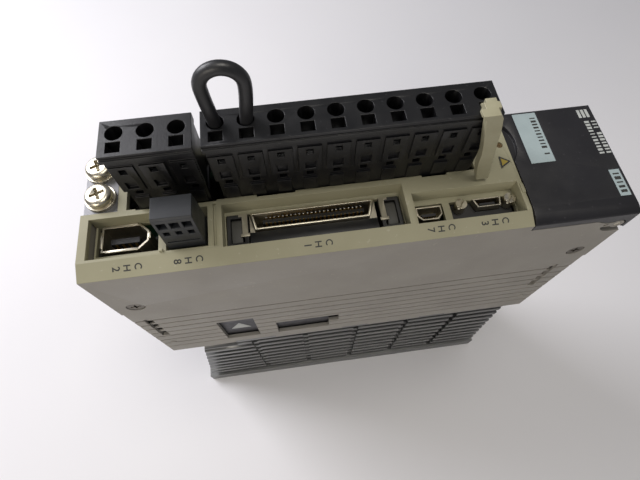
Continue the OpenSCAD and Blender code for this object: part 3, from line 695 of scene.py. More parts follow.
def rows_tree() -> bpy.types.NodeTree:
    """Repeats the seed in a row, and the row in rows."""
    tree, source = new_tree(
        "rows_of_pieces", {"Count": "Int", "Step": "Vector", "Rows": "Int", "Row Step": "Vector"},
    )
    ends = source.outputs
    last = ends["Geometry"]
    for count, step in (("Count", "Step"), ("Rows", "Row Step")):
        line = put(
            tree, "GeometryNodeMeshLine", {"Count": ends[count], "Offset": ends[step]}, mode="OFFSET",
        ).outputs[0]
        last = put(tree, "GeometryNodeInstanceOnPoints", {"Points": line, "Instance": last}).outputs[0]
    return close_tree(tree, source, last)


def ring_tree() -> bpy.types.NodeTree:
    """Repeats the seed round the Z axis, turned to face outwards."""
    tree, source = new_tree("ring_of_pieces", {"Count": "Int", "Radius": "Float", "Gap": "Int"})
    ends = source.outputs
    ring = put(
        tree, "GeometryNodeMeshCircle", {"Vertices": ends["Count"], "Radius": ends["Radius"]},
    ).outputs[0]
    index = put(tree, "GeometryNodeInputIndex").outputs[0]
    part = put(tree, "ShaderNodeMath", {0: index, 1: ends["Count"]}, operation="DIVIDE").outputs[0]
    angle = put(tree, "ShaderNodeMath", {0: part, 1: 2 * math.pi}, operation="MULTIPLY").outputs[0]
    turn = put(tree, "ShaderNodeCombineXYZ", {2: angle}).outputs[0]
    face = put(tree, "FunctionNodeEulerToRotation", {0: turn}).outputs[0]
    half = put(tree, "ShaderNodeMath", {0: ends["Count"], 1: 2.0}, operation="DIVIDE").outputs[0]
    spot = put(tree, "ShaderNodeMath", {0: index, 1: half}, operation="MODULO").outputs[0]
    kept = put(tree, "ShaderNodeMath", {0: spot, 1: ends["Gap"]}, operation="GREATER_THAN").outputs[0]
    last = put(tree, "GeometryNodeInstanceOnPoints",
               {"Points": ring, "Selection": kept, "Instance": ends["Geometry"], "Rotation": face}).outputs[0]
    return close_tree(tree, source, last)


def scatter_tree() -> bpy.types.NodeTree:
    """Sets the seed on a grid, leaves some out and stretches each by chance, with a fixed seed number."""
    kinds = {"Wide": "Float", "High": "Float", "Columns": "Int", "Rows": "Int", "Share": "Float",
             "Small": "Vector", "Large": "Vector", "Seed": "Int"}
    tree, source = new_tree("scattered_pieces", kinds)
    ends = source.outputs
    sizes = {
        "Size X": ends["Wide"], "Size Y": ends["High"],
        "Vertices X": ends["Columns"], "Vertices Y": ends["Rows"],
    }
    grid = put(tree, "GeometryNodeMeshGrid", sizes).outputs[0]
    chance = put(
        tree, "FunctionNodeRandomValue", {"Probability": ends["Share"], "Seed": ends["Seed"]},
        data_type="BOOLEAN",
    ).outputs[3]
    size = put(
        tree, "FunctionNodeRandomValue", {0: ends["Small"], 1: ends["Large"], "Seed": ends["Seed"]},
        data_type="FLOAT_VECTOR",
    ).outputs[0]
    last = put(tree, "GeometryNodeInstanceOnPoints",
               {"Points": grid, "Selection": chance, "Instance": ends["Geometry"], "Scale": size}).outputs[0]
    return close_tree(tree, source, last)


def sweep_tree() -> bpy.types.NodeTree:
    """Draws a round wire along the seed's line."""
    tree, source = new_tree("wire_along_a_line", {"Radius": "Float", "Sides": "Int", "Step": "Float"})
    ends = source.outputs
    line = put(tree, "GeometryNodeMeshToCurve", {0: ends["Geometry"]}).outputs[0]
    even = put(
        tree, "GeometryNodeResampleCurve", {"Curve": line, "Length": ends["Step"]}, mode="LENGTH",
    ).outputs[0]
    ring = put(
        tree, "GeometryNodeCurvePrimitiveCircle", {"Radius": ends["Radius"], "Resolution": ends["Sides"]},
    ).outputs[0]
    tube = put(
        tree, "GeometryNodeCurveToMesh", {"Curve": even, "Profile Curve": ring, "Fill Caps": True},
    ).outputs[0]
    return close_tree(tree, source, tube)


class Grower(Enum):
    """The geometry trees by their names."""

    ROWS = "rows_of_pieces"
    RING = "ring_of_pieces"
    SCATTER = "scattered_pieces"
    SWEEP = "wire_along_a_line"

    def tree(self) -> bpy.types.NodeTree:
        """Builds the tree, or gives the one already built."""
        makers = {
            Grower.ROWS: rows_tree, Grower.RING: ring_tree, Grower.SCATTER: scatter_tree,
            Grower.SWEEP: sweep_tree,
        }
        return bpy.data.node_groups.get(self.value) or makers[self]()

    def grow(
        self, seed: bpy.types.Mesh, finish: Finish, sizes: dict, place: Matrix | None = None,
    ) -> bpy.types.Mesh:
        """Runs the tree over a seed mesh.

        Args:
            seed: The mesh that the tree repeats or follows.
            finish: The finish that the tree sets.
            sizes: The tree's inputs by name.
            place: A matrix that puts the result in place.

        Returns:
            One plain mesh.
        """
        holder = stand(seed.name + "_seed", seed)
        modifier = holder.modifiers.new(self.value, "NODES")
        modifier.node_group = self.tree()
        keys = {s.name: s.identifier for s in modifier.node_group.interface.items_tree if s.in_out == "INPUT"}
        for label, value in {**sizes, "Material": finish.material()}.items():
            modifier[keys[label]] = value
        made = bake(holder)
        if place:
            made.transform(place)
        shade(made)
        return made


def joined(name: str, parts: Iterable[bpy.types.Mesh]) -> bpy.types.Mesh:
    """Joins meshes into one."""
    work = bmesh.new()
    for part in parts:
        work.from_mesh(part)
    made = to_mesh(name, work)
    shade(made)
    return made


# ---------- sub-assemblies ----------
@dataclass
class SubAssembly:
    """A group of nodes dressed together, with the fine pieces added to them.

    Attributes:
        bench: Where places are measured from.
    """

    bench: Bench

    def skins(self) -> Iterable[Skin]:
        """Lists how the nodes are dressed."""
        return ()

    def details(self) -> None:
        """Makes the fine pieces."""

    def build(self) -> None:
        """Dresses the nodes, makes the fine pieces and reports it."""
        for skin in self.skins():
            skin.apply()
        self.details()
        log.info("%s done", type(self).__name__)

    def piece(
        self, name: str, shape: Shape, finish: Finish, body: str = "chassis", *stands_for: str,
    ) -> bpy.types.Object:
        """Adds a piece from a shape in bench millimetres."""
        return add_piece(name, shape.mesh(name, self.bench.matrix()), finish, body, *stands_for)

    def row(self, name: str, shape: Shape, finish: Finish, count: int, step: Triple, body: str = "chassis",
            rows: int = 1, row_step: Triple = (0, 0, 0), stands_for: Iterable[str] = ()) -> bpy.types.Object:
        """Adds a row of one small shape.

        Args:
            name: The piece's name.
            shape: The first of the row, in bench millimetres.
            finish: Its finish.
            count: How many in a row.
            step: From one to the next, in millimetres.
            body: The body that it moves with.
            rows: How many rows.
            row_step: From row to row.
            stands_for: Nodes that it replaces.

        Returns:
            The piece.
        """
        sizes = {"Count": count, "Step": step, "Rows": rows, "Row Step": row_step}
        mesh = Grower.ROWS.grow(shape.mesh(name), finish, sizes, self.bench.matrix())
        return add_piece(name, mesh, finish, body, *stands_for)

    def print_rows(self, name: str, centre: Triple, area: Pair, columns: int, rows: int, dash: Pair,
                   finish: Finish, turn: Matrix, body: str, seed: int) -> bpy.types.Object:
        """Adds rows of short printed bars in place of lettering.

        Args:
            name: The piece's name.
            centre: Middle of the print.
            area: Its width along the bars and its height over the rows.
            columns: Bars in a row.
            rows: Number of rows.
            dash: Length and thickness of a bar.
            finish: The ink.
            turn: Turns the print from the XY plane to its surface.
            body: The body that it moves with.
            seed: Seed number of the bars' lengths.

        Returns:
            The piece.
        """
        long, thick = dash
        bar = Shape().block((-long / 2, -thick / 2, 0), (long / 2, thick / 2, INK_MM)).mesh(name)
        sizes = {"Wide": area[0], "High": area[1], "Columns": columns, "Rows": rows, "Share": 0.9,
                 "Small": (0.35, 1, 1), "Large": (1, 1, 1), "Seed": seed}
        place = self.bench.matrix() @ Matrix.Translation(centre) @ turn
        return add_piece(name, Grower.SCATTER.grow(bar, finish, sizes, place), finish, body)


@dataclass
class Studio:
    """Camera, light and floor.

    Attributes:
        eye_mm: The camera's place in the frame.
        turn_deg: Its turn.
        lens_mm: Its lens.
        sensor_mm: Width of its sensor.
        floor_mm: Half the floor's width.
        air: Strength of the light from all round.
        lamps: Name, place, side, watts and colour of each softbox.
    """

    eye_mm: Triple = (-19.94, -69.74, 280.83)
    turn_deg: Triple = (25.734, 0.247, -7.736)
    lens_mm: float = 24.94
    sensor_mm: float = 36.0
    floor_mm: float = 3000.0
    air: float = 0.22
    lamps: tuple[tuple[str, Triple, float, float, str], ...] = (
        ("window_softbox", (-470, 330, 520), 400, 4.2, "#fbfaff"),
        ("front_softbox", (-420, -620, 480), 400, 2.0, "#fff6e8"),
        ("top_softbox", (90, -20, 850), 300, 1.8, "#fffaf0"),
    )

    def camera(self) -> None:
        """Sets up the camera."""
        lens = bpy.data.cameras.new("studio_camera")
        lens.lens, lens.sensor_width = self.lens_mm, self.sensor_mm
        lens.clip_start, lens.clip_end = 0.01, 20.0
        camera = stand("studio_camera", lens)
        camera.location = Vector(self.eye_mm) * MM
        camera.rotation_euler = [math.radians(a) for a in self.turn_deg]
        bpy.context.scene.camera = camera

    def lamp(self, name: str, place_mm: Triple, size_mm: float, watts: float, colour: str) -> None:
        """Adds a square softbox aimed at the drive.

        Args:
            name: The lamp's name.
            place_mm: Its place in the frame.
            size_mm: Its side.
            watts: Its power.
            colour: Its colour.
        """
        light = bpy.data.lights.new(name, "AREA")
        light.shape, light.size, light.energy = "SQUARE", size_mm * MM, watts
        light.color = linear(colour)[:3]
        lamp = stand(name, light)
        lamp.location = Vector(place_mm) * MM
        lamp.rotation_euler = (-Vector(place_mm)).to_track_quat("-Z", "Y").to_euler()

    def floor(self) -> None:
        """Lays the pale floor."""
        work = bmesh.new()
        bmesh.ops.create_grid(work, x_segments=8, y_segments=8, size=self.floor_mm * MM)
        floor = stand("floor", to_mesh("floor", work))
        floor.data.materials.append(PAINTED_BOARD.material())

    def build(self) -> None:
        """Makes the camera first, then the light and the floor."""
        self.camera()
        world = bpy.data.worlds.new("studio_air")
        bpy.context.scene.world = world
        world.use_nodes = True
        world.node_tree.nodes.clear()
        air = put(world.node_tree, "ShaderNodeBackground", {"Color": linear("#e6e8f0"), "Strength": self.air})
        put(world.node_tree, "ShaderNodeOutputWorld", {"Surface": air.outputs[0]})
        for lamp in self.lamps:
            self.lamp(*lamp)
        self.floor()
        bpy.context.scene.view_settings.view_transform = "Standard"
        log.info("studio done")


@dataclass
class HeatSink(SubAssembly):
    """The extruded heat sink."""

    def skins(self) -> Iterable[Skin]:
        """Lists how the nodes are dressed."""
        return (Skin("heat_sink", EXTRUDED_ALUMINIUM, 0.2, True),)


@dataclass
class Case(SubAssembly):
    """Both halves of the case, the shield behind its windows, and its screws.

    Attributes:
        mark_at: Middle of the plain triangle on the shield, in X and Z.
        mark_size: Its size.
        label_x: The left side's label, from end to end.
        label_z: The same label over its height.
        label_sunk: How deep its back and its face lie under the side.
        label_print: Width and height of the print on it.
    """

    mark_at: Pair = (33.0, 100.0)
    mark_size: float = 4.2
    label_x: Pair = (22.0, 110.0)
    label_z: Pair = (141.5, 160.5)
    label_sunk: Pair = (0.55, 0.42)
    label_print: Pair = (74.0, 13.0)

    def skins(self) -> Iterable[Skin]:
        """Lists how the nodes are dressed."""
        return (
            Skin("main_case", CASE_ABS, 0.14), Skin("left_cover", CASE_ABS, 0.14),
            Skin("side_shield", PHOSPHATED_STEEL, 0.1), Skin("case_screws", BLACKENED_STEEL, 0.1),
            Skin("hinge_pins", NICKEL_SCREW, 0.12),
        )

    def details(self) -> None:
        """Makes the triangle on the shield and the plain label of the left cover."""
        (x, z), s = self.mark_at, self.mark_size
        face = self.bench.span("side_shield")[0].y
        corners = [(x - s, z - s * 0.8), (x + s, z - s * 0.8), (x, z + s * 0.9)]
        self.piece("shield_triangle", Shape().prism(corners, "y", face - 0.05, face + 0.02), PALE_INK)
        side = self.bench.span("left_cover")[1].y
        (x0, x1), (z0, z1), (back, front) = self.label_x, self.label_z, self.label_sunk
        label = Shape().block((x0, side - back, z0), (x1, side - front, z1)).soften(0.03)
        self.piece("side_label", label, LABEL_FILM)
        middle = ((x0 + x1) / 2, side - front, (z0 + z1) / 2)
        turn = Matrix.Rotation(math.pi, 4, "Z") @ Matrix.Rotation(math.pi / 2, 4, "X")
        self.print_rows(
            "side_label_print", middle, self.label_print, columns=11, rows=5, dash=(6.2, 1.1),
            finish=DARK_INK, turn=turn, body="chassis", seed=4,
        )


@dataclass
class Bezel(SubAssembly):
    """The front bezel with its port marks.

    Attributes:
        marks: Digit of each port, with the place of its digit along X.
        mark_step: Distance between the three stacked marks.
        mark_y: Their place across the sloped strip.
        mark_size: Size of a digit.
        ring_r: Inner and outer radius of the open ring.
        ring_parts: Straight parts in the ring.
        ink_z: Lower and upper face of the ink over the strip.
        slope: Rise of the strip in Z over Y, and its start in Z.
        notice_at: Place of the plain triangle beside the lever.
        notice: Its corners.
    """

    marks: dict[str, float] = field(
        default_factory=lambda: {"2": 10.6, "8": 27.2, "1": 63.2, "7": 98.3, "3": 114.0},
    )
    mark_step: float = 3.05
    mark_y: float = 2.5
    mark_size: float = 2.9
    ring_r: Pair = (0.68, 1.02)
    ring_parts: int = 14
    ink_z: Pair = (-0.01, 0.012)
    slope: Pair = (0.37, 168.15)
    notice_at: Pair = (125.2, 21.5)
    notice: tuple[Pair, ...] = ((-0.9, 2.2), (-1.3, -2.2), (2.2, 0.0))

    def skins(self) -> Iterable[Skin]:
        """Lists how the nodes are dressed."""
        return (Skin("front_bezel", BEZEL_ABS, 0.06, True), Skin("charge_lamp", AMBER_EPOXY))

    def glyph(self, name: str, text: str) -> bpy.types.Mesh:
        """Makes a flat digit as a mesh, in millimetres.

        Args:
            name: The mesh's name.
            text: The digit.

        Returns:
            The mesh, centred on the origin, up along Y.
        """
        curve = bpy.data.curves.new(name, "FONT")
        curve.body, curve.size, curve.extrude, curve.offset = text, self.mark_size, 0.012, 0.045
        curve.align_x, curve.align_y = "CENTER", "CENTER"
        return bake(stand(name, curve))

    def ring(self) -> bpy.types.Mesh:
        """Makes an open ring round the origin, three quarters of a turn."""
        shape = Shape()
        near, far = self.ring_r
        for k in range(self.ring_parts):
            a, b = (math.radians(45 + 270 * t / self.ring_parts) for t in (k, k + 1))
            corners = [
                (r * math.cos(t), r * math.sin(t)) for r, t in ((near, a), (far, a), (far, b), (near, b))
            ]
            shape.prism(corners, "z", *self.ink_z)
        return shape.mesh("port_ring")

    def bars(self) -> bpy.types.Mesh:
        """Makes two upright bars and a cross bar round the origin."""
        low, high = self.ink_z
        bars = Shape().block((-0.85, -0.95, low), (-0.5, 0.95, high))
        bars.block((0.5, -0.95, low), (0.85, 0.95, high))
        return bars.block((-0.52, -0.18, low), (0.52, 0.18, high - 0.001)).mesh("port_bars")

    def details(self) -> None:
        """Prints the port marks and the plain triangle."""
        rise, start = self.slope
        out = Vector((0, -rise, 1)).normalized()
        up = Vector((1, 0, 0))
        right = up.cross(out)
        parts = []
        turn = Matrix((right, up, out)).transposed().to_4x4()
        for digit, x in self.marks.items():
            for i, mesh in enumerate((self.glyph("port_digit", digit), self.bars(), self.ring())):
                place = (x + self.mark_step * i, self.mark_y, start + rise * self.mark_y)
                spot = Vector(place) + out * INK_MM
                mesh.transform(self.bench.matrix() @ Matrix.Translation(spot) @ turn)
                parts.append(mesh)
        add_piece("port_marks", joined("port_marks", parts), DARK_INK, "chassis")
        top = self.bench.span("front_bezel")[1].z - 0.3
        x, y = self.notice_at
        layers = (("notice_rim", 1.0, 0.02, DARK_INK), ("notice_field", 0.62, 0.04, YELLOW_INK))
        for name, size, lift, finish in layers:
            outline = [(x + size * a, y + size * b) for a, b in self.notice]
            self.piece(name, Shape().prism(outline, "z", top - 0.01, top + lift), finish)


@dataclass
class GroundTerminal(SubAssembly):
    """The ground plate with its screws and washers."""

    def skins(self) -> Iterable[Skin]:
        """Lists how the nodes are dressed."""
        return (
            Skin("ground_plate", TINNED_STEEL, 0.12), Skin("ground_washers", NICKEL_SCREW, 0.12),
            Skin("ground_screws", NICKEL_SCREW, 0.15),
        )


class Block(Enum):
    """The two terminal blocks: name, first pole along X, poles and body of the plug."""

    MAIN = ("main", 44.0, 10, "power_plug")
    MOTOR = ("motor", 19.6, 3, "motor_plug")


@dataclass
class TerminalBlock(SubAssembly):
    """A header on the board and the plug in it.

    Attributes:
        kind: Which of the two blocks it is.
        pitch: Distance from pole to pole.
        slot_y: The tool slot across the plug.
        spring_z: The spring in the tool slot, from low to high.
        spring_half: Half its width.
    """

    kind: Block = Block.MAIN
    pitch: float = 7.5
    slot_y: Pair = (20.7, 23.2)
    spring_z: Pair = (187.2, 191.4)
    spring_half: float = 1.35

    def skins(self) -> Iterable[Skin]:
        """Lists how the nodes are dressed."""
        name = self.kind.value[0]
        return (
            Skin(f"{name}_header", NYLON, 0.12), Skin(f"{name}_plug", NYLON, 0.12),
            Skin(f"{name}_plug_clamps", ZINC_CLAMP, 0.08), Skin(f"{name}_header_pins", GOLD_CONTACT, 0.08),
        )

    def details(self) -> None:
        """Makes the springs in the tool slots."""
        name, x, poles, body = self.kind.value
        (y0, y1), (z0, z1), half = self.slot_y, self.spring_z, self.spring_half
        leaf = [
            (y0, z0), (y0 + 0.35, z0), (y0 + 1.3, z1 - 0.7), (y1, z1 - 0.5), (y1, z1), (y0 + 1.1, z1 - 0.1),
        ]
        spring = Shape().prism(leaf, "x", x - half, x + half).soften(0.06)
        self.row(f"{name}_plug_springs", spring, ZINC_CLAMP, poles, (self.pitch, 0, 0), body)


@dataclass
class Jumper(SubAssembly):
    """The wire that joins the first two poles.

    Attributes:
        legs_x: The two poles along X.
        wire_y: The wire's place across the plug.
        radius: The wire's radius.
        loop_x: The loop's centre along X.
        loop_r: Radius of the loop.
        start_z: Where the insulation starts.
        loop_z: Height of the loop's centre.
        leg_steps: Steps in a leg.
        loop_steps: Steps in the half turn of the loop.
    """

    legs_x: Pair = (44.0, 51.5)
    wire_y: float = 26.2
    radius: float = 1.68
    loop_x: float = 48.1
    loop_r: float = 4.95
    start_z: float = 191.7
    loop_z: float = 207.2
    leg_steps: int = 16
    loop_steps: int = 24

    def skins(self) -> Iterable[Skin]:
        """Lists how the nodes are dressed."""
        return (Skin("jumper_ferrules", ZINC_CLAMP, 0.08),)

    def route(self) -> list[Triple]:
        """Gives the points of the wire's middle line."""
        y, middle, r, n, turns = self.wire_y, self.loop_x, self.loop_r, self.leg_steps, self.loop_steps

        def leg(x0: float, x1: float, t: float) -> Triple:
            """Gives a point of a leg, from its foot to the loop."""
            return (x0 + (x1 - x0) * t * t * (3 - 2 * t), y, self.start_z + (self.loop_z - self.start_z) * t)

        def bend(angle: float) -> Triple:
            """Gives a point of the loop."""
            return (middle - r * math.cos(angle), y, self.loop_z + r * math.sin(angle))

        left = [leg(self.legs_x[0], middle - r, i / n) for i in range(n)]
        right = [leg(self.legs_x[1], middle + r, i / n) for i in reversed(range(n))]
        return left + [bend(math.pi * i / turns) for i in range(turns + 1)] + right

    def details(self) -> None:
        """Sweeps the wire along its route."""
        points = self.route()
        line = bpy.data.meshes.new("jumper_line")
        line.from_pydata(points, [(i, i + 1) for i in range(len(points) - 1)], [])
        wire = Grower.SWEEP.grow(
            line, PVC_JACKET, {"Radius": self.radius, "Sides": 20, "Step": 0.8}, self.bench.matrix(),
        )
        add_piece("jumper_wire_jacket", wire, PVC_JACKET, "power_plug", "jumper_wire")


@dataclass
class OpenerLever(SubAssembly):
    """The lever that opens the clamps."""

    def skins(self) -> Iterable[Skin]:
        """Lists how the nodes are dressed."""
        return (Skin("opener_lever", IVORY_ACETAL, 0.12),)


@dataclass
class SafetyTerminal(SubAssembly):
    """The two-row plug in its socket.

    Attributes:
        first_x: First of the three contacts along X.
        step: Distance between them.
        spring: Outline of a spring contact, from the plug's near side in Y, and in Z.
        spring_half: Half its width.
    """

    first_x: float = 27.0
    step: float = 3.2
    spring: tuple[Pair, ...] = (
        (1.9, 180.4), (2.2, 180.4), (2.8, 182.2), (1.7, 183.1), (1.5, 182.8), (2.4, 182.0),
    )
    spring_half: float = 0.9

    def skins(self) -> Iterable[Skin]:
        """Lists how the nodes are dressed."""
        return (
            Skin("safety_socket", POLYESTER, 0.1), Skin("safety_socket_pins", GOLD_CONTACT, 0.05),
            Skin("safety_plug", GREY_NYLON, 0.16),
        )

    def details(self) -> None:
        """Makes the spring contacts behind the windows."""
        near = self.bench.span("safety_plug")[0].y
        leaf = [(near + y, z) for y, z in self.spring]
        spring = Shape().prism(leaf, "x", self.first_x - self.spring_half, self.first_x + self.spring_half)
        self.row("safety_plug_springs", spring, ZINC_CLAMP, 3, (self.step, 0, 0), "safety_plug")


@dataclass
class Sockets(SubAssembly):
    """The encoder, signal, service and panel sockets.

    Attributes:
        signal_pins: Contacts in a row of the signal socket.
        signal_pitch: Distance between them.
        signal_x: Place of the first.
        tongue_y: The two faces of its tongue.
        encoder_lips: Folded lips on the encoder socket's rim, each from corner to corner.
        panel_first: The first contact of the panel socket, in X and Y.
        flange_x: The signal socket's flange, from end to end.
        flange: Its outline in Y, and in Z from the top of the latch blocks.
        clip: Outline of its left sheet clip, in X and Y.
        clip_z: The clips' two faces, from the top of the latch blocks.
        pawl: Outline of a pawl in Y, and in Z from the same top.
        pawl_x: A pawl from side to side, from the end of its latch block.
    """

    signal_pins: int = 24
    signal_pitch: float = 1.24
    signal_x: float = 51.9
    tongue_y: Pair = (13.4, 14.8)
    encoder_lips: tuple[tuple[float, float, float, float], ...] = (
        (5.3, 17.7, 14.6, 18.5), (5.7, 9.5, 15.0, 10.3), (4.0, 11.2, 4.7, 16.4), (17.7, 12.9, 18.5, 14.9),
    )
    panel_first: Pair = (116.7, 10.6)
    flange_x: Pair = (47.1, 85.1)
    flange: tuple[Pair, ...] = (
        (5.6, -1.9), (5.6, -1.35), (6.9, -1.35), (6.9, -0.9), (9.4, -0.9), (9.4, -1.3), (11.0, -1.3),
        (11.0, -1.9),
    )
    clip: tuple[Pair, ...] = (
        (45.1, 16.7), (46.7, 16.7), (46.7, 10.2), (47.2, 10.2), (47.2, 9.2), (44.6, 9.2), (44.6, 10.2),
        (45.1, 10.2), (45.1, 15.9), (44.1, 15.9), (44.1, 16.7),
    )
    clip_z: Pair = (-0.06, 0.25)
    pawl: tuple[Pair, ...] = ((7.7, -3.4), (7.7, -0.9), (9.4, -0.4), (14.4, -0.4), (15.5, -1.1), (15.5, -3.4))
    pawl_x: Pair = (1.3, 4.4)

    def skins(self) -> Iterable[Skin]:
        """Lists how the nodes are dressed."""
        shells = [
            Skin(f"{name}_shell", NICKEL_SHELL, 0.12, name == "io")
            for name in ("encoder", "io", "usb", "port")
        ]
        cores = [Skin(f"{name}_insulator", POLYESTER, 0.08) for name in ("encoder", "io", "usb", "port")]
        return (*shells, *cores, Skin("io_latches", POLYESTER, 0.15), Skin("jackscrews", NICKEL_SCREW, 0.1))

    def contacts(self, name: str, x: float, y: float, z: Pair, size: Pair, count: int, pitch: float,
                 rows: int = 1, row_y: float = 0.0, stands_for: Iterable[str] = ()) -> None:
        """Makes a row of contacts with lead-in tips.

        Args:
            name: The piece's name.
            x: Place of the first along X.
            y: Its near face.
            z: From its foot to its tip.
            size: Width and thickness.
            count: How many in a row.
            pitch: Distance between them.
            rows: How many rows.
            row_y: From row to row.
            stands_for: Nodes that it replaces.
        """
        w, t = size
        tip = [
            (y, z[0]), (y + t, z[0]), (y + t, z[1] - 0.3), (y + t * 0.6, z[1]), (y + t * 0.3, z[1]),
            (y, z[1] - 0.4),
        ]
        blade = Shape().prism(tip, "x", x, x + w)
        self.row(name, blade, GOLD_CONTACT, count, (pitch, 0, 0), "chassis", rows, (0, row_y, 0), stands_for)

    def details(self) -> None:
        """Makes the contacts of every socket, the folded lips and the signal socket's fittings."""
        span = self.bench.span
        low, high = span("io_contacts")
        (near, far), x = self.tongue_y, self.signal_x
        self.contacts(
            "signal_contacts", x, low.y, z=(low.z, high.z + 1.1), size=(0.6, near - low.y - 0.01),
            count=self.signal_pins, pitch=self.signal_pitch, rows=2, row_y=far - near + (near - low.y) + 0.02,
            stands_for=("io_contacts",),
        )
        tip = Shape().block((x, far + 0.15, high.z + 0.6), (x + 0.5, far + 0.55, high.z + 1.1)).soften(0.08)
        self.row("signal_contact_tips", tip, ZINC_CLAMP, self.signal_pins, (self.signal_pitch, 0, 0))
        low, high = span("encoder_insulator")
        self.contacts(
            "encoder_contacts", low.x + 2.2, low.y + 2.38, z=(low.z + 3, high.z - 0.5), size=(0.7, 0.14),
            count=4, pitch=1.9, rows=2, row_y=1.83,
        )
        rim = span("encoder_shell")[1].z
        lips = Shape()
        for x0, y0, x1, y1 in self.encoder_lips:
            lips.block((x0, y0, rim - 0.1), (x1, y1, rim + 0.22))
        self.piece("encoder_lips", lips.soften(0.08), NICKEL_SHELL)
        low, high = span("usb_insulator")
        self.contacts(
            "service_contacts", low.x + 0.4, low.y - 0.1, z=(low.z + 0.5, high.z - 0.3), size=(0.35, 0.11),
            count=5, pitch=0.8,
        )
        low, high = span("port_insulator")
        self.contacts(
            "panel_contacts", *self.panel_first, z=(low.z + 1.9, high.z - 0.5), size=(0.3, 0.11), count=7,
            pitch=0.64, rows=2, row_y=0.9,
        )
        self.signal_fittings()

    def signal_fittings(self) -> None:
        """Makes the signal socket's flange, its two sheet clips and the pawls in the latch blocks."""
        low, high = self.bench.span("io_latches")
        both_ends = low.x + high.x
        top = high.z
        flange = Shape().prism([(y, top + z) for y, z in self.flange], "x", *self.flange_x)
        self.piece("signal_flange", flange.soften(0.06), POLYESTER)
        back, front = (top + z for z in self.clip_z)
        right = [(both_ends - x, y) for x, y in self.clip]
        clips = Shape().prism(self.clip, "z", back, front).prism(right, "z", back, front)
        self.piece("signal_clips", clips.soften(0.05), MATT_TIN)
        pawl = [(y, top + z) for y, z in self.pawl]
        x0, x1 = self.pawl_x
        pawls = Shape().prism(pawl, "x", low.x + x0, low.x + x1)
        pawls.prism(pawl, "x", both_ends - low.x - x1, both_ends - low.x - x0)
        self.piece("signal_pawls", pawls.soften(0.2), PANEL_ABS)


@dataclass
class DisplayCover(SubAssembly):
    """The hinged cover with its two labels and the print on it.

    Attributes:
        print_at: Middle of the two printed rows at the top end.
        mark_at: First corner of the three printed blocks beside them.
        mark_size: Size of one block.
        mark_step: Distance between them.
    """

    print_at: Pair = (156.9, 26.6)
    mark_at: Pair = (154.2, 34.4)
    mark_size: Pair = (0.9, 3.2)
    mark_step: float = 1.3

    def skins(self) -> Iterable[Skin]:
        """Lists how the nodes are dressed."""
        return (
            Skin("display_cover", COVER_PC, 0.1), Skin("cover_label", LABEL_FILM, 0.03),
            Skin("rating_label", LABEL_FILM, 0.03),
        )

    def details(self) -> None:
        """Prints plain bars on the labels and plain marks at the top end."""
        turn = Matrix.Rotation(-math.pi / 2, 4, "Z")
        low, high = self.bench.span("cover_label")
        middle = (low + high) / 2
        self.print_rows(
            "cover_label_print", (high.x - 1.6, middle.y + 1.0, high.z), (15.0, 0.0), columns=13, rows=1,
            dash=(0.95, 1.7), finish=DARK_INK, turn=turn, body="cover", seed=3,
        )
        low, high = self.bench.span("rating_label")
        middle = (low + high) / 2
        self.print_rows(
            "rating_label_print", (middle.x, middle.y, high.z), (6.0, 0.0), columns=5, rows=1,
            dash=(1.1, 1.9), finish=DARK_INK, turn=turn, body="cover", seed=5,
        )
        top = self.bench.span("display_cover")[1].z - 0.001
        self.print_rows(
            "cover_print", (*self.print_at, top - 0.012), (12.0, 2.2), columns=11, rows=2,
            dash=(0.95, 1.5), finish=PALE_INK, turn=turn, body="cover", seed=9,
        )
        mark = Shape()
        (x, y), (wide, high) = self.mark_at, self.mark_size
        for k in range(3):
            left = x + self.mark_step * k
            mark.block((left, y, top - 0.012), (left + wide, y + high, top + 0.008))
        self.piece("cover_corner_mark", mark, PALE_INK, "cover")


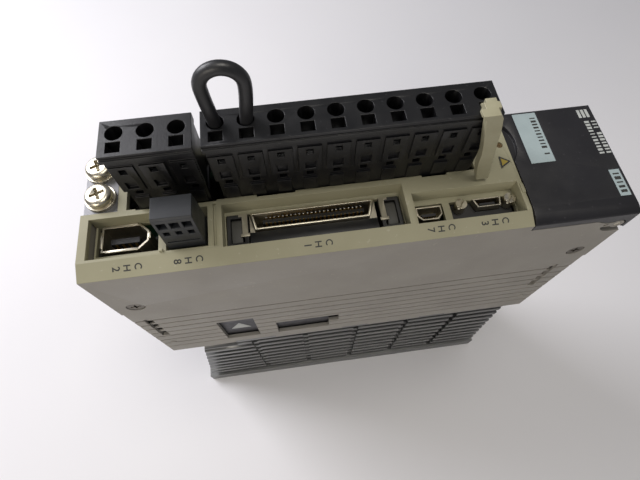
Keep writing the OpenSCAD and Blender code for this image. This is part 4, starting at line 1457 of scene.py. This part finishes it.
@dataclass
class OperatorPanel(SubAssembly):
    """The panel under the cover: display, keys and lamps.

    Attributes:
        digit_size: Width and height of a digit, along Y and X.
        digits: How many digits.
        digit_step: Distance between them.
        segment_half: Half the width of a segment.
        key_mark: Corners of the mark beside a key, from the key's near corner.
        key_step: Distance from key to key.
    """

    digit_size: Pair = (2.9, 5.4)
    digits: int = 5
    digit_step: float = 4.7
    segment_half: float = 0.32
    key_mark: tuple[Pair, ...] = ((-1.1, 1.4), (-0.5, 2.8), (-1.1, 4.2))
    key_step: float = 7.4

    def skins(self) -> Iterable[Skin]:
        """Lists how the nodes are dressed."""
        keys = [Skin(f"{name}_key", KEY_ABS, 0.06) for name in ("mode", "up", "down", "set")]
        return (
            *keys, Skin("operator_panel", PANEL_ABS, 0.2), Skin("display_window", SMOKED_ACRYLIC, 0.12),
            Skin("digit_display", SEGMENT_BODY), Skin("status_leds", LED_EPOXY, 0.06),
            Skin("panel_board", BOARD_MASK), Skin("key_switches", MOULD_EPOXY, 0.1),
        )

    def segments(self) -> Shape:
        """Makes one digit of seven slim segments at the first place."""
        wide, high = self.digit_size
        low, far = self.bench.span("digit_display")
        x0, y0, t = low.x + 1.1, low.y + 1.3, self.segment_half
        back, front = far.z - 0.02, far.z + 0.05
        near, end = y0 + 0.6, y0 + wide - 0.6
        digit = Shape()
        for k in range(3):
            x = x0 + k * high / 2
            across = [
                (x, y0 + 0.35), (x + t, near), (x + t, end), (x, y0 + wide - 0.35), (x - t, end),
                (x - t, near),
            ]
            digit.prism(across, "z", back, front)
        for y in (y0, y0 + wide):
            for k in range(2):
                a, b = x0 + k * high / 2 + 0.25, x0 + (k + 1) * high / 2 - 0.25
                upright = [
                    (a, y), (a + 0.3, y - t), (b - 0.3, y - t), (b, y), (b - 0.3, y + t), (a + 0.3, y + t),
                ]
                digit.prism(upright, "z", back, front)
        return digit

    def details(self) -> None:
        """Makes the digits and the plain marks beside the keys."""
        self.row("display_digits", self.segments(), SEGMENT_EPOXY, self.digits, (0, self.digit_step, 0))
        low = self.bench.span("mode_key")[0]
        top = self.bench.span("operator_panel")[1].z
        corners = [(low.x + x, low.y + y) for x, y in self.key_mark]
        mark = Shape().prism(corners, "z", top - INK_MM, top + INK_MM)
        self.row("key_marks", mark, PALE_INK, 4, (0, self.key_step, 0))


@dataclass
class Electronics(SubAssembly):
    """Boards and power parts inside the case.

    Attributes:
        chip_legs: For each chip its box in X and Z, and its legs along a side.
        leg: Outline of a leg, in Y from the board's near face, and in Z from the chip's side.
        leg_x: A leg's two sides, from the chip's end.
        small_parts_at: Middle of the field of small parts, in X and Z.
        winding_turns: Turns round the choke's core.
        ring_r: Radius of the core's middle line.
        section_r: Half the core's width.
        section: Outline of the core's section, in parts of that.
        winding_r: Radius of a turn of wire.
        wire_r: Radius of the wire.
        choke_y: The core's place across the case.
        legs_z: The choke's legs, from the core's middle.
        leg_end: Where they end in the power board, in Y.
        core_parts: Parts of the core round its axis.
        turn_parts: Parts of a turn of wire.
    """

    chip_legs: tuple[tuple[float, float, float, float, int], ...] = (
        (58, 124, 80, 146, 16), (34, 126, 46, 134, 7), (34, 138, 50, 148, 9), (98, 126, 110, 144, 8),
    )
    leg: tuple[Pair, ...] = (
        (-0.9, 0.0), (-0.9, -0.5), (-0.2, -0.9), (-0.2, -1.5), (0.0, -1.5), (0.0, -0.8), (-0.6, -0.35),
        (-0.6, 0.0),
    )
    leg_x: Pair = (0.8, 1.2)
    small_parts_at: Pair = (89.0, 134.0)
    winding_turns: int = 36
    ring_r: float = 6.0
    section_r: float = 2.3
    section: tuple[Pair, ...] = (
        (-1, -0.6), (-0.6, -1), (0.6, -1), (1, -0.6), (1, 0.6), (0.6, 1), (-0.6, 1), (-1, 0.6),
    )
    winding_r: float = 2.9
    wire_r: float = 0.42
    choke_y: float = 28.0
    legs_z: float = 8.3
    leg_end: float = 35.55
    core_parts: int = 40
    turn_parts: int = 14

    def skins(self) -> Iterable[Skin]:
        """Lists how the nodes are dressed."""
        return (
            Skin("control_board", BOARD_MASK), Skin("power_board", BOARD_MASK),
            Skin("board_chips", MOULD_EPOXY, 0.15), Skin("power_module", MOULD_EPOXY, 0.3),
            Skin("board_link", CREAM_POLYESTER, 0.15), Skin("inrush_relay", CREAM_POLYESTER, 0.4),
            Skin("bus_capacitors", SHRINK_SLEEVE, 0.8), Skin("standoffs", TURNED_BRASS, 0.15),
            Skin("board_screws", NICKEL_SCREW, 0.15),
        )

    def details(self) -> None:
        """Makes chip legs, the parts on the board and the choke's winding."""
        near = self.bench.span("control_board")[0].y
        for i, (x0, z0, x1, z1, legs) in enumerate(self.chip_legs):
            pitch = (x1 - x0 - sum(self.leg_x)) / (legs - 1)
            outline = [(near + y, z) for y, z in self.leg]
            foot = Shape().prism(outline, "x", x0 + self.leg_x[0], x0 + self.leg_x[1]).mesh(f"chip_leg_{i}")
            low = foot.copy()
            low.transform(Matrix.Translation((0, 0, z0)))
            high = foot.copy()
            high.transform(Matrix.Translation((0, 0, z1)) @ Matrix.Scale(-1, 4, (0, 0, 1)))
            high.flip_normals()
            seed = joined(f"chip_legs_{i}", (low, high))
            sizes = {"Count": legs, "Step": (pitch, 0, 0), "Rows": 1, "Row Step": (0, 0, 0)}
            row = Grower.ROWS.grow(seed, ZINC_CLAMP, sizes, self.bench.matrix())
            add_piece(f"chip_legs_{i + 1}", row, ZINC_CLAMP, "chassis")
        part = Shape().block((-0.5, -0.3, 0), (0.5, 0.3, 0.5)).soften(0.06).mesh("board_part")
        sizes = {"Wide": 11.0, "High": 26.0, "Columns": 5, "Rows": 12, "Share": 0.7,
                 "Small": (1.0, 1.2, 0.6), "Large": (1.9, 2.1, 1.3), "Seed": 7}
        x, z = self.small_parts_at
        place = self.bench.matrix() @ Matrix.Translation((x, near, z)) @ Matrix.Rotation(math.pi / 2, 4, "X")
        field_of_parts = Grower.SCATTER.grow(part, CREAM_POLYESTER, sizes, place)
        add_piece("board_small_parts", field_of_parts, CREAM_POLYESTER, "chassis")
        self.choke()

    def choke(self) -> None:
        """Makes the choke: a coated ring core with wire wound round it."""
        low, high = self.bench.span("filter_choke")
        x, y, z = Vector(((low.x + high.x) / 2, self.choke_y, (low.z + high.z) / 2))
        r, n, parts = self.winding_r, self.turn_parts, self.core_parts
        turn = self.bench.matrix() @ Matrix.Translation((x, y, z)) @ Matrix.Rotation(math.pi / 2, 4, "X")
        loop = bpy.data.meshes.new("winding_turn")
        angles = [2 * math.pi * i / n for i in range(n)]
        edges = [(i, (i + 1) % n) for i in range(n)]
        loop.from_pydata([(r * math.cos(a), 0, r * math.sin(a)) for a in angles], edges, [])
        one = Grower.SWEEP.grow(loop, ENAMELLED_COPPER, {"Radius": self.wire_r, "Sides": 6, "Step": 1.3})
        sizes = {"Count": self.winding_turns, "Radius": self.ring_r, "Gap": 2}
        coil = Grower.RING.grow(one, ENAMELLED_COPPER, sizes, turn)
        add_piece("choke_winding", coil, ENAMELLED_COPPER, "chassis")
        core = Shape()
        section = [(self.ring_r + self.section_r * a, self.section_r * b) for a, b in self.section]
        angles = [2 * math.pi * i / parts for i in range(parts)]
        spots = [[(r * math.cos(a), r * math.sin(a), h) for r, h in section] for a in angles]
        rings = [[core.work.verts.new(spot) for spot in ring] for ring in spots]
        sides = len(section)
        for here, ahead in zip(rings, rings[1:] + rings[:1]):
            for k in range(sides):
                core.work.faces.new((here[k], ahead[k], ahead[(k + 1) % sides], here[(k + 1) % sides]))
        add_piece("choke_core", core.mesh("choke_core", turn), POWDER_COAT, "chassis", "filter_choke")
        legs = Shape()
        for side in (-self.legs_z, self.legs_z):
            legs.disc((x, z + side), 0.5, "y", y, self.leg_end, 10)
        self.piece("choke_legs", legs, ENAMELLED_COPPER)


def main() -> None:
    """Builds the studio and every sub-assembly in order."""
    logging.basicConfig(level=logging.INFO, format="%(name)s: %(message)s")
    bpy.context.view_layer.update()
    bench = Bench(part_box("heat_sink")[0])
    Studio().build()
    for part in (
        HeatSink(bench), Case(bench), Bezel(bench), GroundTerminal(bench), TerminalBlock(bench, Block.MAIN),
        TerminalBlock(bench, Block.MOTOR), Jumper(bench), OpenerLever(bench), SafetyTerminal(bench),
        Sockets(bench), DisplayCover(bench), OperatorPanel(bench), Electronics(bench),
    ):
        part.build()


if __name__ == "__main__":
    main()
